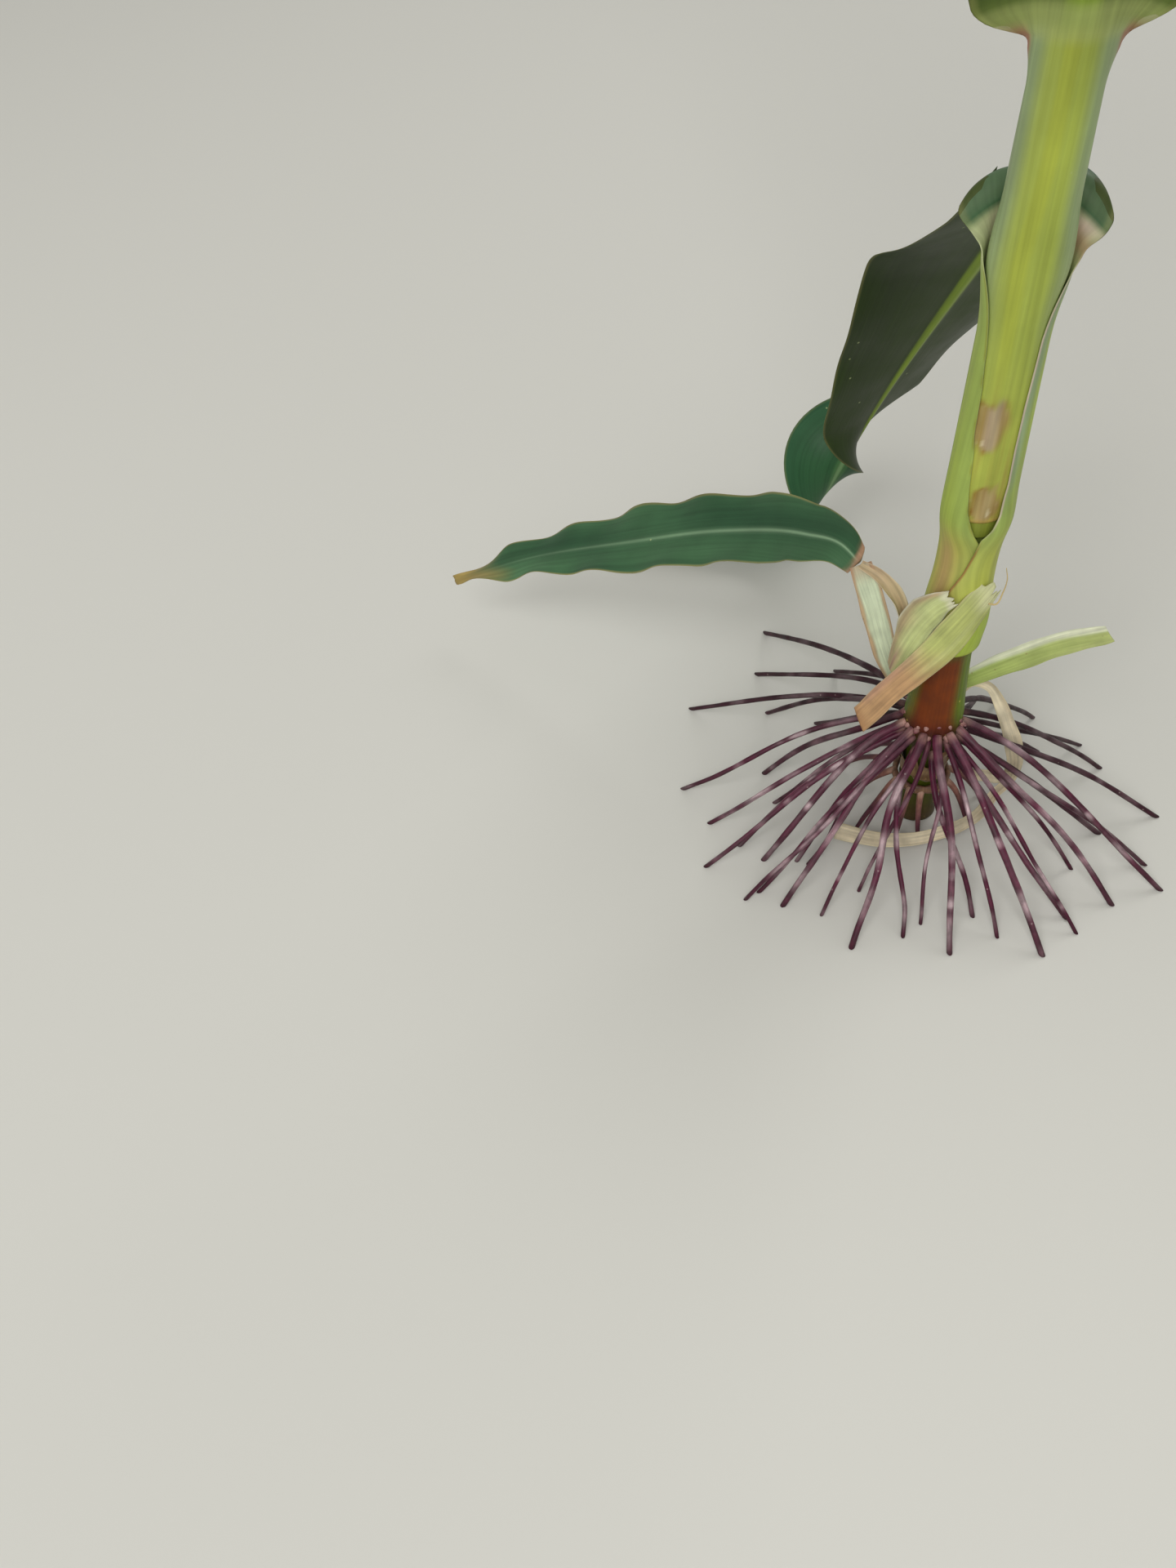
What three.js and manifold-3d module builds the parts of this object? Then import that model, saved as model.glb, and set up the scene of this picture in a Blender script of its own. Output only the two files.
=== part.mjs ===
// Maize plant at silking, rooted in the ground: one stalk, brace roots, thirteen leaves, a torn lowest leaf,
// an ear in its husk and a tassel. Millimetres, +Z up, origin at the middle of the stalk's flat foot.
import * as THREE from 'three';
import { mergeVertices } from 'three/addons/utils/BufferGeometryUtils.js';
import Module from 'manifold-3d';

const wasm = await Module();
wasm.setup();

// driving dimensions
const clearance = 0.3; // between parts that touch on the plant
const firstNode = 115; // height of the lowest whole leaf's node
const internodes = [62, 103, 135, 155, 170, 175, 175, 170, 165, 160, 150, 150];
const peduncle = 200; // bare stalk from the top leaf's node to the tassel
const leanReach = 12; // how far the stalk leans to +X in the end
const leanLength = 960; // height over which it leans
const stalkSides = 12;
const sheathWall = 1;
const pulvinus = 1; // extra thickness of a sheath at its node
const sheathTurn = 172; // degrees from the midrib to each margin of a closed sheath
const longestBlade = 860;
const widestBlade = 98;
const widestLeaf = 7; // counted from the lowest whole leaf
const leafPlane = 70; // degrees, heading of the lowest whole leaf
const leafDrift = 9; // degrees that each leaf's heading turns on from the one below
const earLeaf = 8;
const wholeSegments = 12; // across a sheath
const bladeSegments = 6;
const tipSegments = 4;
const whorlHeight = 66; // upper brace roots
const secondRow = 54;
const rootThickness = 4.4;
const lowWhorlHeight = 27;
const lowRoots = 11;
const tasselLength = 300;
const tasselBranches = 11;
const earLength = 215;
const earThickness = 46;

const colours = {
  stalk: 0x8a8a3a, blade: 0x3f6b45, root: 0x6b3a4c, lowRoot: 0x9a6b62,
  torn: 0xc49a78, tornPale: 0xb8c890, dry: 0xb8a07a, husk: 0xa6bf6b, silk: 0xb9783f, tassel: 0xbfae62,
};

const maize = new THREE.Group();
const up = new THREE.Vector3(0, 0, 1);
const radians = THREE.MathUtils.degToRad;
const mix = THREE.MathUtils.lerp;
const smooth = (x, from, to) => THREE.MathUtils.smoothstep(x, from, to);
const vec = (x, y, z) => new THREE.Vector3(x, y, z);
const heading = (degrees) => vec(Math.cos(radians(degrees)), Math.sin(radians(degrees)), 0);

// a value that follows straight lines between [place, value] pairs
function along(pairs, place) {
  const next = pairs.findIndex(([at]) => at > place);
  if (next === 0) return pairs[0][1];
  if (next < 0) return pairs[pairs.length - 1][1];
  const [from, low] = pairs[next - 1];
  const [to, high] = pairs[next];
  return mix(low, high, (place - from) / (to - from));
}

function add(name, geometry, colour, roughness = 0.6) {
  const material = new THREE.MeshStandardMaterial({ color: colour, roughness, metalness: 0 });
  const mesh = new THREE.Mesh(geometry, material);
  mesh.name = name;
  maize.add(mesh);
}

// a closed body from a list of triangles of points, turned outwards if it came out inside out
function body(triangles) {
  const positions = [];
  let volume = 0;
  for (const [a, b, c] of triangles) {
    volume += a.dot(b.clone().cross(c));
  }
  for (const [a, b, c] of triangles) {
    for (const p of volume > 0 ? [a, b, c] : [a, c, b]) positions.push(p.x, p.y, p.z);
  }
  const geometry = new THREE.BufferGeometry();
  geometry.setAttribute('position', new THREE.Float32BufferAttribute(positions, 3));
  return mergeVertices(geometry, 1e-4);
}

function solid(geometry) {
  const { position } = geometry.attributes;
  const mesh = { numProp: 3, vertProperties: position.array, triVerts: new Uint32Array(geometry.index.array) };
  return new wasm.Manifold(new wasm.Mesh(mesh));
}

function joined(geometries) {
  const whole = geometries.map(solid).reduce((sum, piece) => sum.add(piece));
  const { vertProperties, triVerts, numProp } = whole.getMesh();
  const geometry = new THREE.BufferGeometry();
  const positions = [];
  for (const index of triVerts) {
    for (let axis = 0; axis < 3; axis += 1) positions.push(vertProperties[index * numProp + axis]);
  }
  geometry.setAttribute('position', new THREE.Float32BufferAttribute(positions, 3));
  return mergeVertices(geometry, 1e-4);
}

// two triangles of the quad a b c d
const quad = (a, b, c, d) => [[a, b, c], [a, c, d]];

// a body of rings that all have the same number of points, closed by a fan at each end
function ringed(rings) {
  const triangles = [];
  for (let i = 1; i < rings.length; i += 1) {
    const low = rings[i - 1];
    const high = rings[i];
    low.forEach((point, k) => {
      const next = (k + 1) % low.length;
      triangles.push(...quad(point, low[next], high[next], high[k]));
    });
  }
  const first = rings[0];
  const last = rings[rings.length - 1];
  for (let k = 2; k < first.length; k += 1) {
    triangles.push([first[0], first[k], first[k - 1]], [last[0], last[k - 1], last[k]]);
  }
  return body(triangles);
}

// a tapering round limb along a path: against cuts its start flat, square to that direction,
// and grounded cuts its end flat on the ground
function limb(path, radiusAt, sides, { against = null, grounded = false } = {}) {
  let side = null;
  const rings = path.map((point, i) => {
    const ahead = path[Math.min(i + 1, path.length - 1)];
    const behind = path[Math.max(i - 1, 0)];
    const tangent = ahead.clone().sub(behind).normalize();
    side ??= Math.abs(tangent.z) > 0.9 ? vec(1, 0, 0) : up.clone();
    side = side.clone().sub(tangent.clone().multiplyScalar(side.dot(tangent))).normalize();
    const other = tangent.clone().cross(side);
    const radius = radiusAt(i / (path.length - 1));
    return Array.from({ length: sides }, (_, k) => {
      const turn = (2 * Math.PI * k) / sides;
      const corner = point.clone().addScaledVector(side, radius * Math.cos(turn));
      corner.addScaledVector(other, radius * Math.sin(turn));
      if (against && i === 0) {
        const short = point.clone().sub(corner).dot(against);
        corner.addScaledVector(tangent, short / tangent.dot(against));
      }
      if (grounded && i === path.length - 1) corner.addScaledVector(tangent, -corner.z / tangent.z);
      return corner;
    });
  });
  return ringed(rings);
}

// the faces across one step of a slab's side, where the far row has as many points or half as many steps
function across(near, far) {
  const triangles = [];
  if (near.length === far.length) {
    for (let i = 1; i < near.length; i += 1) triangles.push(...quad(near[i - 1], near[i], far[i], far[i - 1]));
    return triangles;
  }
  for (let i = 1; i < far.length; i += 1) {
    const [a, b, c] = near.slice(2 * i - 2, 2 * i + 1);
    triangles.push([a, b, far[i - 1]], [b, far[i], far[i - 1]], [b, c, far[i]]);
  }
  return triangles;
}

// a thin bent body from rows of points, each row with an upper and an under line from margin to margin
function slab(rows) {
  const triangles = [];
  const flip = (list) => list.map(([a, b, c]) => [a, c, b]);
  for (let i = 1; i < rows.length; i += 1) {
    const near = rows[i - 1];
    const far = rows[i];
    triangles.push(...across(near.upper, far.upper), ...flip(across(near.under, far.under)));
    triangles.push(...quad(near.under[0], near.upper[0], far.upper[0], far.under[0]));
    const [a, b, c, d] = [near.upper, near.under, far.under, far.upper].map((line) => line[line.length - 1]);
    triangles.push(...quad(a, b, c, d));
  }
  const last = rows[rows.length - 1];
  triangles.push(...across(rows[0].under, rows[0].upper), ...across(last.upper, last.under));
  return body(triangles);
}

// stalk: radius by height, thick at the brace roots, narrow in the sheaths, then tapering to the tassel
const nodes = internodes.reduce((list, step) => [...list, list[list.length - 1] + step], [firstNode]);
const stalkTop = nodes[nodes.length - 1] + peduncle;
const stalkProfile = [
  [0, 10.2], [20, 9.4], [27, 10.4], [34, 9.4], [48, 9.9], [58, 12.6], [66, 13.4], [73, 13.2], [80, 12.4],
  [95, 11.4], [107, 10.7], [115, 11], [122, 10.4], [150, 10.2], [170, 10], [177, 9.7], [184, 9.1], [210, 9.1],
  [235, 8.7], [262, 8], [272, 8.5], [280, 9], [290, 8.4], [300, 8], [340, 7.7], [nodes[7], 7.6],
  [nodes[10], 5.4], [nodes[12], 4.1], [stalkTop, 3.2],
];
const ringNodes = nodes.slice(3); // those that swell on top of the profile
const swelling = (z) => Math.max(0, ...ringNodes.map((node) => 0.5 * (1 - Math.abs(z - node) / 8)));
const stalkRadius = (z) => along(stalkProfile, z) + swelling(z);
const leanAt = (z) => leanReach * (1 - Math.exp(-z / leanLength));
const axisAt = (z) => vec(leanAt(z), 0, z);

function stalkRing(z, radius) {
  return Array.from({ length: stalkSides }, (_, k) => {
    return axisAt(z).addScaledVector(heading((360 * k) / stalkSides), radius);
  });
}
const stalkLevels = new Set(stalkProfile.map(([z]) => z));
for (const node of ringNodes) {
  for (const step of [-8, 0, 8]) stalkLevels.add(node + step);
}
const levels = [...stalkLevels].sort((a, b) => a - b);
add('stalk', ringed(levels.map((z) => stalkRing(z, stalkRadius(z)))), colours.stalk);

// how far a blade's section opens, as the angle from midrib to margin, by the distance from the collar
const trough = [[0, 150], [8, 90], [20, 66], [55, 46], [120, 34], [900, 14]];
const shallow = [[0, 150], [6, 90], [16, 50], [40, 18], [120, 6], [900, 6]];

// what each leaf measures: the rule for all, and the two lowest whole leaves as they grew
function measures(number) {
  const fromWidest = number - widestLeaf;
  const flank = number % 2 ? 0 : 180;
  const node = nodes[number - 1];
  const next = nodes[number] ?? node + 150;
  const rule = {
    number,
    node,
    sheath: Math.max(next - node, 155) + (number < nodes.length ? 14 : 0),
    length: longestBlade - 10.5 * fromWidest ** 2,
    width: widestBlade - (fromWidest > 0 ? 0.95 : 0.5) * fromWidest ** 2,
    heading: leafPlane + flank + leafDrift * (number - 1) + 7 * Math.sin(2.3 * number),
    rise: 56 + 1.3 * number, // degrees above level where the blade leaves the collar
    droop: 138 - 2.4 * number + 8 * Math.sin(1.7 * number), // degrees that it bends down by its tip
    bendAt: 1.15,
    landing: 0, // degrees that the tip turns up again where it meets the ground
    sweep: 16 * Math.sin(1.1 * number), // degrees that its heading turns by the tip
    sweepAt: 1,
    twist: 22 * Math.sin(2.9 * number),
    twistFrom: 0.3,
    twistTo: 0.7,
    split: 0.46,
    tilt: 0, // degrees that the blade's start leans to one side
    foot: 0.7, // its width at the collar, as a share of the whole
    widen: 0.3,
    collarBend: 22,
    channel: trough,
    pulvinus,
  };
  const grown = {
    1: {
      sheath: 183, length: 470, width: 104, heading: 66, rise: -10, droop: 73, bendAt: 0.52, landing: 82,
      sweep: 119, sweepAt: 1.36, twist: 176, twistFrom: 0.6, twistTo: 0.76, split: 0.2, pulvinus: 1.9,
      tilt: -31, foot: 0.31, collarBend: 6.3, channel: shallow,
    },
    2: { sheath: 170, length: 590, width: 84, heading: -113, rise: 64, droop: 118, sweep: -10, pulvinus: 0.6 },
    3: { sheath: 170 },
    4: { sheath: 170 },
    [earLeaf]: { sheath: 132, rise: 30, droop: 84 },
  };
  return { ...rule, ...(grown[number] ?? {}) };
}

// half the width of a blade at a share of its length
const outline = ({ foot, widen }, share) => (1 - share ** 2.6) ** 0.9 * mix(foot, 1, smooth(share, 0, widen));
// the front of the lowest whole leaf's sheath gapes above the next node
const gape = [[162, sheathTurn], [177, 154], [205, 140], [232, 115], [255, 92], [298, 86]];

// the heights of a sheath's rows
function sheathLevels({ number, node, sheath }) {
  const next = nodes[number];
  const top = node + sheath;
  const list = [node, node + 10];
  if (number === 1) list.push(132, 150, 168, 176, 188, 205, 232, 264, 275);
  else if (next && next < top) list.push(next - 16, next - 5, ...(top - next > 40 ? [next + 8, next + 16] : []));
  return [...list, top].filter((z, i, all) => i === 0 || z - all[i - 1] > 2);
}

function opening({ number, node, sheath }, z) {
  return number === 1 ? along(gape, z) : mix(sheathTurn, 150, smooth(z, node + sheath - 30, node + sheath));
}

// inner radius of each sheath at its rows: clear of the stalk, or of the sheath inside it, between rows too
const outerOf = {};
const facet = Math.cos(radians(sheathTurn / wholeSegments));
function sheathRadii(leaf) {
  const rows = sheathLevels(leaf);
  const inside = (z) => {
    const within = outerOf[leaf.number + 1];
    return within && z > within[0][0] - 2 ? Math.max(stalkRadius(z), along(within, z)) : stalkRadius(z);
  };
  const needed = (z, from, to) => {
    const sag = Math.cos(radians((opening(leaf, from) - opening(leaf, to)) / 2)); // where two rows open differently
    return (inside(z) + clearance + 0.08) / facet / sag;
  };
  const flare = (i) => (i === rows.length - 1 ? 0.5 : 0); // at the collar
  const radii = rows.map((z, i) => needed(z, z, z) + flare(i));
  for (let i = 1; i < rows.length; i += 1) {
    const [from, to] = [rows[i - 1], rows[i]];
    let short = 0;
    for (let z = from; z <= to; z += 1) {
      short = Math.max(short, needed(z, from, to) - mix(radii[i - 1], radii[i], (z - from) / (to - from)));
    }
    radii[i - 1] += short;
    radii[i] += short;
  }
  const wide = leaf.number === 1 ? 20 : 0; // how far up its foot's swelling reaches
  const wall = (z) => sheathWall + leaf.pulvinus * (1 - smooth(z, leaf.node + wide, leaf.node + 12 + wide));
  outerOf[leaf.number] = rows.map((z, i) => [z, radii[i] + wall(z)]);
  return rows.map((z, i) => ({ z, radius: radii[i], wall: wall(z) }));
}

// one row of a leaf: an arc of half length reach that opens by turn degrees each side of the midrib
function leafRow({ midrib, under, side, reach, turn, thick, margin, segments }) {
  const radius = reach / radians(turn);
  const centre = midrib.clone().addScaledVector(under, -radius);
  const line = (extra) => Array.from({ length: segments + 1 }, (_, k) => {
    const t = (2 * k) / segments - 1;
    const depth = radius + extra * mix(margin, thick, (1 - Math.abs(t)) ** 1.5);
    const angle = radians(turn) * t;
    const point = centre.clone().addScaledVector(under, depth * Math.cos(angle));
    return point.addScaledVector(side, depth * Math.sin(angle));
  });
  return { upper: line(0), under: line(1) };
}

// the blade's midrib: it leaves the collar upright, leans out within the collar's bend, then droops to its tip
function bladePath(leaf, start) {
  const step = 2;
  const count = Math.round(leaf.length / step);
  const points = [];
  const place = start.clone();
  for (let i = 0; i <= count; i += 1) {
    const distance = i * step;
    const share = distance / leaf.length;
    const settled = leaf.rise - leaf.droop * share ** leaf.bendAt + leaf.landing * smooth(share, 0.7, 0.88);
    const pitch = radians(mix(88, settled, smooth(distance, 0, leaf.collarBend)));
    const turn = leaf.heading + leaf.sweep * share ** leaf.sweepAt;
    const tangent = heading(turn).multiplyScalar(Math.cos(pitch)).addScaledVector(up, Math.sin(pitch));
    const lean = leaf.tilt * smooth(distance, 5, 30) * (1 - smooth(share, 0.1, 0.33));
    const roll = radians(leaf.twist * smooth(share, leaf.twistFrom, leaf.twistTo) + lean);
    const side = heading(turn + 90).applyAxisAngle(tangent, roll);
    points.push({ midrib: place.clone(), tangent, side, under: side.clone().cross(tangent), share });
    place.addScaledVector(tangent, step);
  }
  return (distance) => points[Math.min(Math.round(distance / step), count)];
}

function leafNodes(leaf) {
  const outward = heading(leaf.heading);
  const side = heading(leaf.heading + 90);
  const thick = leaf.length * 0.0105;
  const margin = 0.9;
  const rows = sheathRadii(leaf).map(({ z, radius, wall }) => leafRow({
    midrib: axisAt(z).addScaledVector(outward, radius), under: outward, side, turn: opening(leaf, z),
    reach: radius * radians(opening(leaf, z)), thick: wall, margin: wall, segments: wholeSegments,
  }));
  const top = leaf.node + leaf.sheath;
  const { radius } = sheathRadii(leaf).at(-1);
  const sheathReach = radius * radians(opening(leaf, top));
  const at = bladePath(leaf, axisAt(top).addScaledVector(outward, radius));
  const bladeRow = (distance, segments, ahead = 0) => {
    const place = { ...at(distance) };
    place.midrib = place.midrib.clone().addScaledVector(place.tangent, ahead);
    const half = Math.max((leaf.width / 2) * outline(leaf, place.share), 2);
    const reach = mix(sheathReach, half, smooth(distance, 0, 60));
    const open = Math.min(along(leaf.channel, distance), opening(leaf, top));
    const keel = mix(sheathWall, thick, smooth(distance, 0, 50)) * mix(1, 0.55, place.share);
    return leafRow({ ...place, reach, turn: open, thick: keel, margin, segments });
  };
  const parting = leaf.length * leaf.split;
  for (const distance of [8, 18]) rows.push(bladeRow(distance, wholeSegments));
  for (const distance of [32, 60]) rows.push(bladeRow(distance, bladeSegments));
  const risingSteps = 3;
  for (let i = 1; i <= risingSteps; i += 1) {
    rows.push(bladeRow(mix(60, parting, i / risingSteps), bladeSegments));
  }
  const end = leaf.length - 6;
  const evenly = Array.from({ length: 8 }, (_, i) => mix(parting, end, i / 7));
  const twisted = [parting, 140, 200, 250, 280, 292, 304, 316, 328, 340, 352, 366, 410, end];
  const tipRows = (leaf.number === 1 ? twisted : evenly).map((distance, i) => {
    return bladeRow(distance, tipSegments, i === 0 ? clearance : 0);
  });
  return { rising: slab(rows), tip: slab(tipRows) };
}

const label = (number) => String(number).padStart(2, '0');
for (let number = nodes.length; number >= 1; number -= 1) {
  const leaf = leafNodes(measures(number));
  add(`leaf_${label(number)}`, leaf.rising, colours.blade);
  add(`leaf_${label(number)}_tip`, leaf.tip, colours.blade);
}

// brace roots: out of the whorl, over in an arch and down to the ground
// each is [heading at the ground, reach from the axis], going round from the right
const upperRoots = [
  [-72, 100], [-46, 103], [-36, 119], [4, 99], [31, 92], [57, 104], [82, 112], [108, 150], [127, 98],
  [153, 78], [-166, 84], [-148, 92], [-124, 93], [-96, 88],
];
const lowerRoots = [
  [-58, 92], [-22, 88], [18, 76], [70, 80], [118, 74], [168, 70], [-156, 66], [-110, 80], [-84, 70],
];

function braceRoot([direction, reach], startHeading, height, arch) {
  const corner = 360 / stalkSides;
  const face = Math.cos(radians(startHeading - corner * Math.round(startHeading / corner)));
  const widest = Math.max(...[-1, 0, 1].map((t) => stalkRadius(height + t * rootThickness * 0.55)));
  const base = widest * face + clearance;
  const steps = 5;
  const path = Array.from({ length: steps + 1 }, (_, i) => {
    const share = i / steps;
    const distance = mix(base, reach, share);
    const drop = height * (1 - mix(share, share ** 2, arch));
    const turn = mix(startHeading, direction, smooth(share, -0.1, 0.9));
    return axisAt(0).addScaledVector(heading(turn), distance).setZ(drop);
  });
  path[0].x += leanAt(height);
  const options = { against: heading(startHeading), grounded: true };
  return limb(path, (share) => mix(rootThickness / 2, rootThickness * 0.36, share), 5, options);
}

function whorl(name, roots, height, firstHeading, arch) {
  roots.forEach((root, i) => {
    const startHeading = firstHeading + (360 * i) / roots.length;
    const near = startHeading - root[0];
    const direction = root[0] + 360 * Math.round(near / 360);
    const geometry = braceRoot([direction, root[1]], startHeading, height, arch);
    add(`${name}_${label(i + 1)}`, geometry, colours.root, 0.5);
  });
}
whorl('brace_root', upperRoots, whorlHeight, -73, 0.4);
whorl('short_brace_root', lowerRoots, secondRow, -60, 0.25);

// the lowest whorl: thin short roots out of one ring round the stalk
function lowWhorl() {
  const inner = (stalkRadius(lowWhorlHeight) + clearance) / Math.cos(Math.PI / 16);
  const ring = Array.from({ length: 17 }, (_, k) => {
    const turn = heading((360 * k) / 16);
    return [[inner, -3], [inner + 2.6, -2], [inner + 2.6, 2], [inner, 3]].map(([radius, rise]) => {
      return axisAt(lowWhorlHeight).addScaledVector(turn, radius).setZ(lowWhorlHeight + rise);
    });
  });
  const triangles = [];
  for (let k = 1; k < ring.length; k += 1) {
    for (let i = 0; i < 4; i += 1) {
      triangles.push(...quad(ring[k - 1][i], ring[k - 1][(i + 1) % 4], ring[k][(i + 1) % 4], ring[k][i]));
    }
  }
  const roots = Array.from({ length: lowRoots }, (_, i) => {
    const direction = (360 * i) / lowRoots + 9 * Math.sin(3.1 * i);
    const reach = 34 + 10 * Math.sin(radians(direction)) + 3 * Math.sin(2.2 * i); // longer behind
    const path = [0, 0.35, 0.7, 1].map((share) => {
      const drop = lowWhorlHeight * (1 - share ** 1.6);
      return axisAt(0).addScaledVector(heading(direction), mix(inner + 1.2, reach, share)).setZ(drop);
    });
    return limb(path, (share) => mix(1.7, 1.1, share), 5, { grounded: true });
  });
  return joined([body(triangles), ...roots]);
}
add('low_root_whorl', lowWhorl(), colours.lowRoot);

// a flat strip through a few points: its face turns from one facing to another along it
function strip({ points, width, thick, facing, steps }) {
  const curve = new THREE.CatmullRomCurve3(points.map(([x, y, z]) => vec(x, y, z)), false, 'centripetal');
  const rows = Array.from({ length: steps + 1 }, (_, i) => {
    const share = i / steps;
    const tangent = curve.getTangentAt(share);
    const face = along(facing.map(([at, list]) => [at, list[0]]), share);
    const tilt = along(facing.map(([at, list]) => [at, list[1]]), share);
    const wanted = heading(face).multiplyScalar(Math.cos(radians(tilt)));
    wanted.addScaledVector(up, Math.sin(radians(tilt)));
    const side = wanted.cross(tangent).normalize();
    const normal = tangent.clone().cross(side).normalize();
    const half = along(width, share) / 2;
    const middle = curve.getPointAt(share);
    const line = (lift) => [-1, 0, 1].map((t) => {
      const crown = lift * (t === 0 ? thick / 2 : thick * 0.3);
      return middle.clone().addScaledVector(side, half * t).addScaledVector(normal, crown);
    });
    return { upper: line(1), under: line(-1) };
  });
  return slab(rows);
}

// the torn lowest leaf: its sheath split into bands, the strip that still carries its blade, and a stub
add('torn_sheath_band', strip({
  points: [[10.8, -11.9, 151], [2.2, -15.7, 142.6], [-7.9, -15.1, 124.9], [-22, -9, 100], [-34, 2, 68]],
  width: [[0, 6], [0.2, 11.5], [1, 11]], thick: 1.4, facing: [[0, [-95, 20]], [1, [-135, 30]]], steps: 8,
}), colours.torn);
add('torn_sheath_flap', strip({
  points: [[-10.1, -11.9, 148.1], [-15.8, -7.6, 136.1], [-20.8, -3.1, 117], [-21.6, 1.6, 101]],
  width: [[0, 8], [0.4, 14], [1, 9]], thick: 1.2, facing: [[0, [-110, 10]], [1, [-160, 25]]], steps: 5,
}), colours.tornPale);
add('lowest_leaf_strip', strip({
  points: [[-12.8, 8.3, 76], [-21, 12, 100], [-29, 17, 128], [-33.1, 27.7, 141]],
  width: [[0, 6], [0.6, 9], [1, 5]], thick: 1.4, facing: [[0, [-130, 0]], [1, [-120, 30]]], steps: 6,
}), colours.tornPale);
add('lowest_leaf_blade', strip({
  points: [[-34, 30, 142], [-48, 55, 138], [-80, 92, 118], [-125, 130, 90], [-175, 165, 62], [-225, 190, 34]],
  width: [[0, 16], [0.12, 32], [0.5, 38], [0.85, 22], [1, 4]], thick: 3.4,
  facing: [[0, [-100, 40]], [0.5, [-95, 62]], [1, [-80, 75]]], steps: 12,
}), colours.blade);
add('sheath_stub', strip({
  points: [[12.6, 5.8, 80], [34, 9, 84], [58, 12, 88], [83, 12, 91]],
  width: [[0, 8], [0.4, 12], [0.8, 11], [1, 6]], thick: 2.2, facing: [[0, [-90, 55]], [1, [-90, 60]]], steps: 6,
}), colours.tornPale);
add('dry_strap', strip({
  points: [
    [13.8, 2.7, 73], [27, 4, 74], [39, -1, 56], [43, -6, 38], [39, -9, 24], [30, -18, 13], [14, -27, 9],
    [-4, -30, 8], [-28, -27, 8], [-46, -20, 10],
  ],
  width: [[0, 5], [1, 6]], thick: 0.9, facing: [[0, [-60, 20]], [0.45, [-70, 30]], [1, [-90, 60]]], steps: 15,
}), colours.dry);

// ear: a short shank out of the axil of the ear leaf, and the husk round the cob
function ear() {
  const leaf = measures(earLeaf);
  const outward = heading(leaf.heading);
  const foot = leaf.node + leaf.sheath + 26;
  const lean = radians(13);
  const direction = up.clone().multiplyScalar(Math.cos(lean)).addScaledVector(outward, Math.sin(lean));
  const start = axisAt(foot).addScaledVector(outward, stalkRadius(foot) + clearance + 5.2);
  const knee = start.clone().addScaledVector(outward, 8).addScaledVector(up, 16);
  const profile = [[0, 0.33], [0.06, 0.52], [0.2, 0.83], [0.4, 1], [0.6, 0.93], [0.8, 0.63], [0.94, 0.35], [1, 0.24]];
  const husked = profile.map(([share]) => knee.clone().addScaledVector(direction, share * earLength));
  const path = [start, ...husked];
  const radii = [6, ...profile.map(([, share]) => (share * earThickness) / 2)];
  const husk = limb(path, (share) => radii[Math.round(share * (path.length - 1))], 12);
  const tip = path[path.length - 1].clone().addScaledVector(direction, clearance);
  const silkPath = [[0, 0], [9, 0], [24, 3], [40, 14], [48, 34], [40, 52]].map(([rise, out]) => {
    return tip.clone().addScaledVector(direction, rise).addScaledVector(outward, out);
  });
  const silk = limb(silkPath, (share) => mix(5.2, 8.5, Math.sin(Math.PI * share * 0.8)), 8);
  return { husk, silk };
}
const { husk, silk } = ear();
add('ear_husk', husk, colours.husk);
add('ear_silk', silk, colours.silk);

// tassel: a middle spike and side branches that arch out, joined in one body
function tassel() {
  const foot = axisAt(stalkTop + clearance);
  const spikePath = [0, 0.3, 0.6, 1].map((share) => {
    const sway = vec(12, 5, 0).multiplyScalar(share ** 2);
    return foot.clone().addScaledVector(up, share * tasselLength).add(sway);
  });
  const spikeRadii = [3.1, 4.2, 4.4, 1.6];
  const spike = limb(spikePath, (share) => spikeRadii[Math.round(share * 3)], 6, { against: up });
  const branches = Array.from({ length: tasselBranches }, (_, i) => {
    const height = 14 + (i * 92) / (tasselBranches - 1);
    const direction = heading(137.5 * i);
    const length = 215 - 8 * i + 14 * Math.sin(2.1 * i);
    const spread = radians(64 - 2.5 * i);
    let place = foot.clone().addScaledVector(up, height);
    const steps = 5;
    const path = [place.clone()];
    for (let k = 0; k < steps; k += 1) {
      const pitch = radians(74) - spread * (k / steps) ** 0.8 * 1.35;
      place = place.clone().addScaledVector(up, (Math.sin(pitch) * length) / steps);
      place.addScaledVector(direction, (Math.cos(pitch) * length) / steps);
      path.push(place);
    }
    return limb(path, (share) => mix(2.6, 1.4, share), 5);
  });
  return joined([spike, ...branches]);
}
add('tassel', tassel(), colours.tassel);

export default maize;
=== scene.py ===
import math
import bpy
import numpy as np
from mathutils import Matrix, Vector


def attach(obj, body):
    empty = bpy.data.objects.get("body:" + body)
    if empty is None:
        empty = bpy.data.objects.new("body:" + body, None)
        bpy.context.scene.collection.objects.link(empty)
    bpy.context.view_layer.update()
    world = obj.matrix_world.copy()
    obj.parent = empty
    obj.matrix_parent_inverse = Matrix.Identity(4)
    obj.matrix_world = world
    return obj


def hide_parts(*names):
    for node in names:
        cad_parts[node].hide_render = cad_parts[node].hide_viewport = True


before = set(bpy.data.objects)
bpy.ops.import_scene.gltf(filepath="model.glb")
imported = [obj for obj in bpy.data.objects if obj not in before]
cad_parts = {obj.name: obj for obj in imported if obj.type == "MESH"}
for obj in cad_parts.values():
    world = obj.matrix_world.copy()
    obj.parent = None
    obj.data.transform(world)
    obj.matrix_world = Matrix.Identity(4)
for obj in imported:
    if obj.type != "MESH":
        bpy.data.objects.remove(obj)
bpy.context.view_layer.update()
mm = 0.001  # all shapes below are worked out in millimetres, +Z up, origin at the stalk's foot
viewer = -115  # degrees, the heading of the photo's side as seen from the stalk
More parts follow.
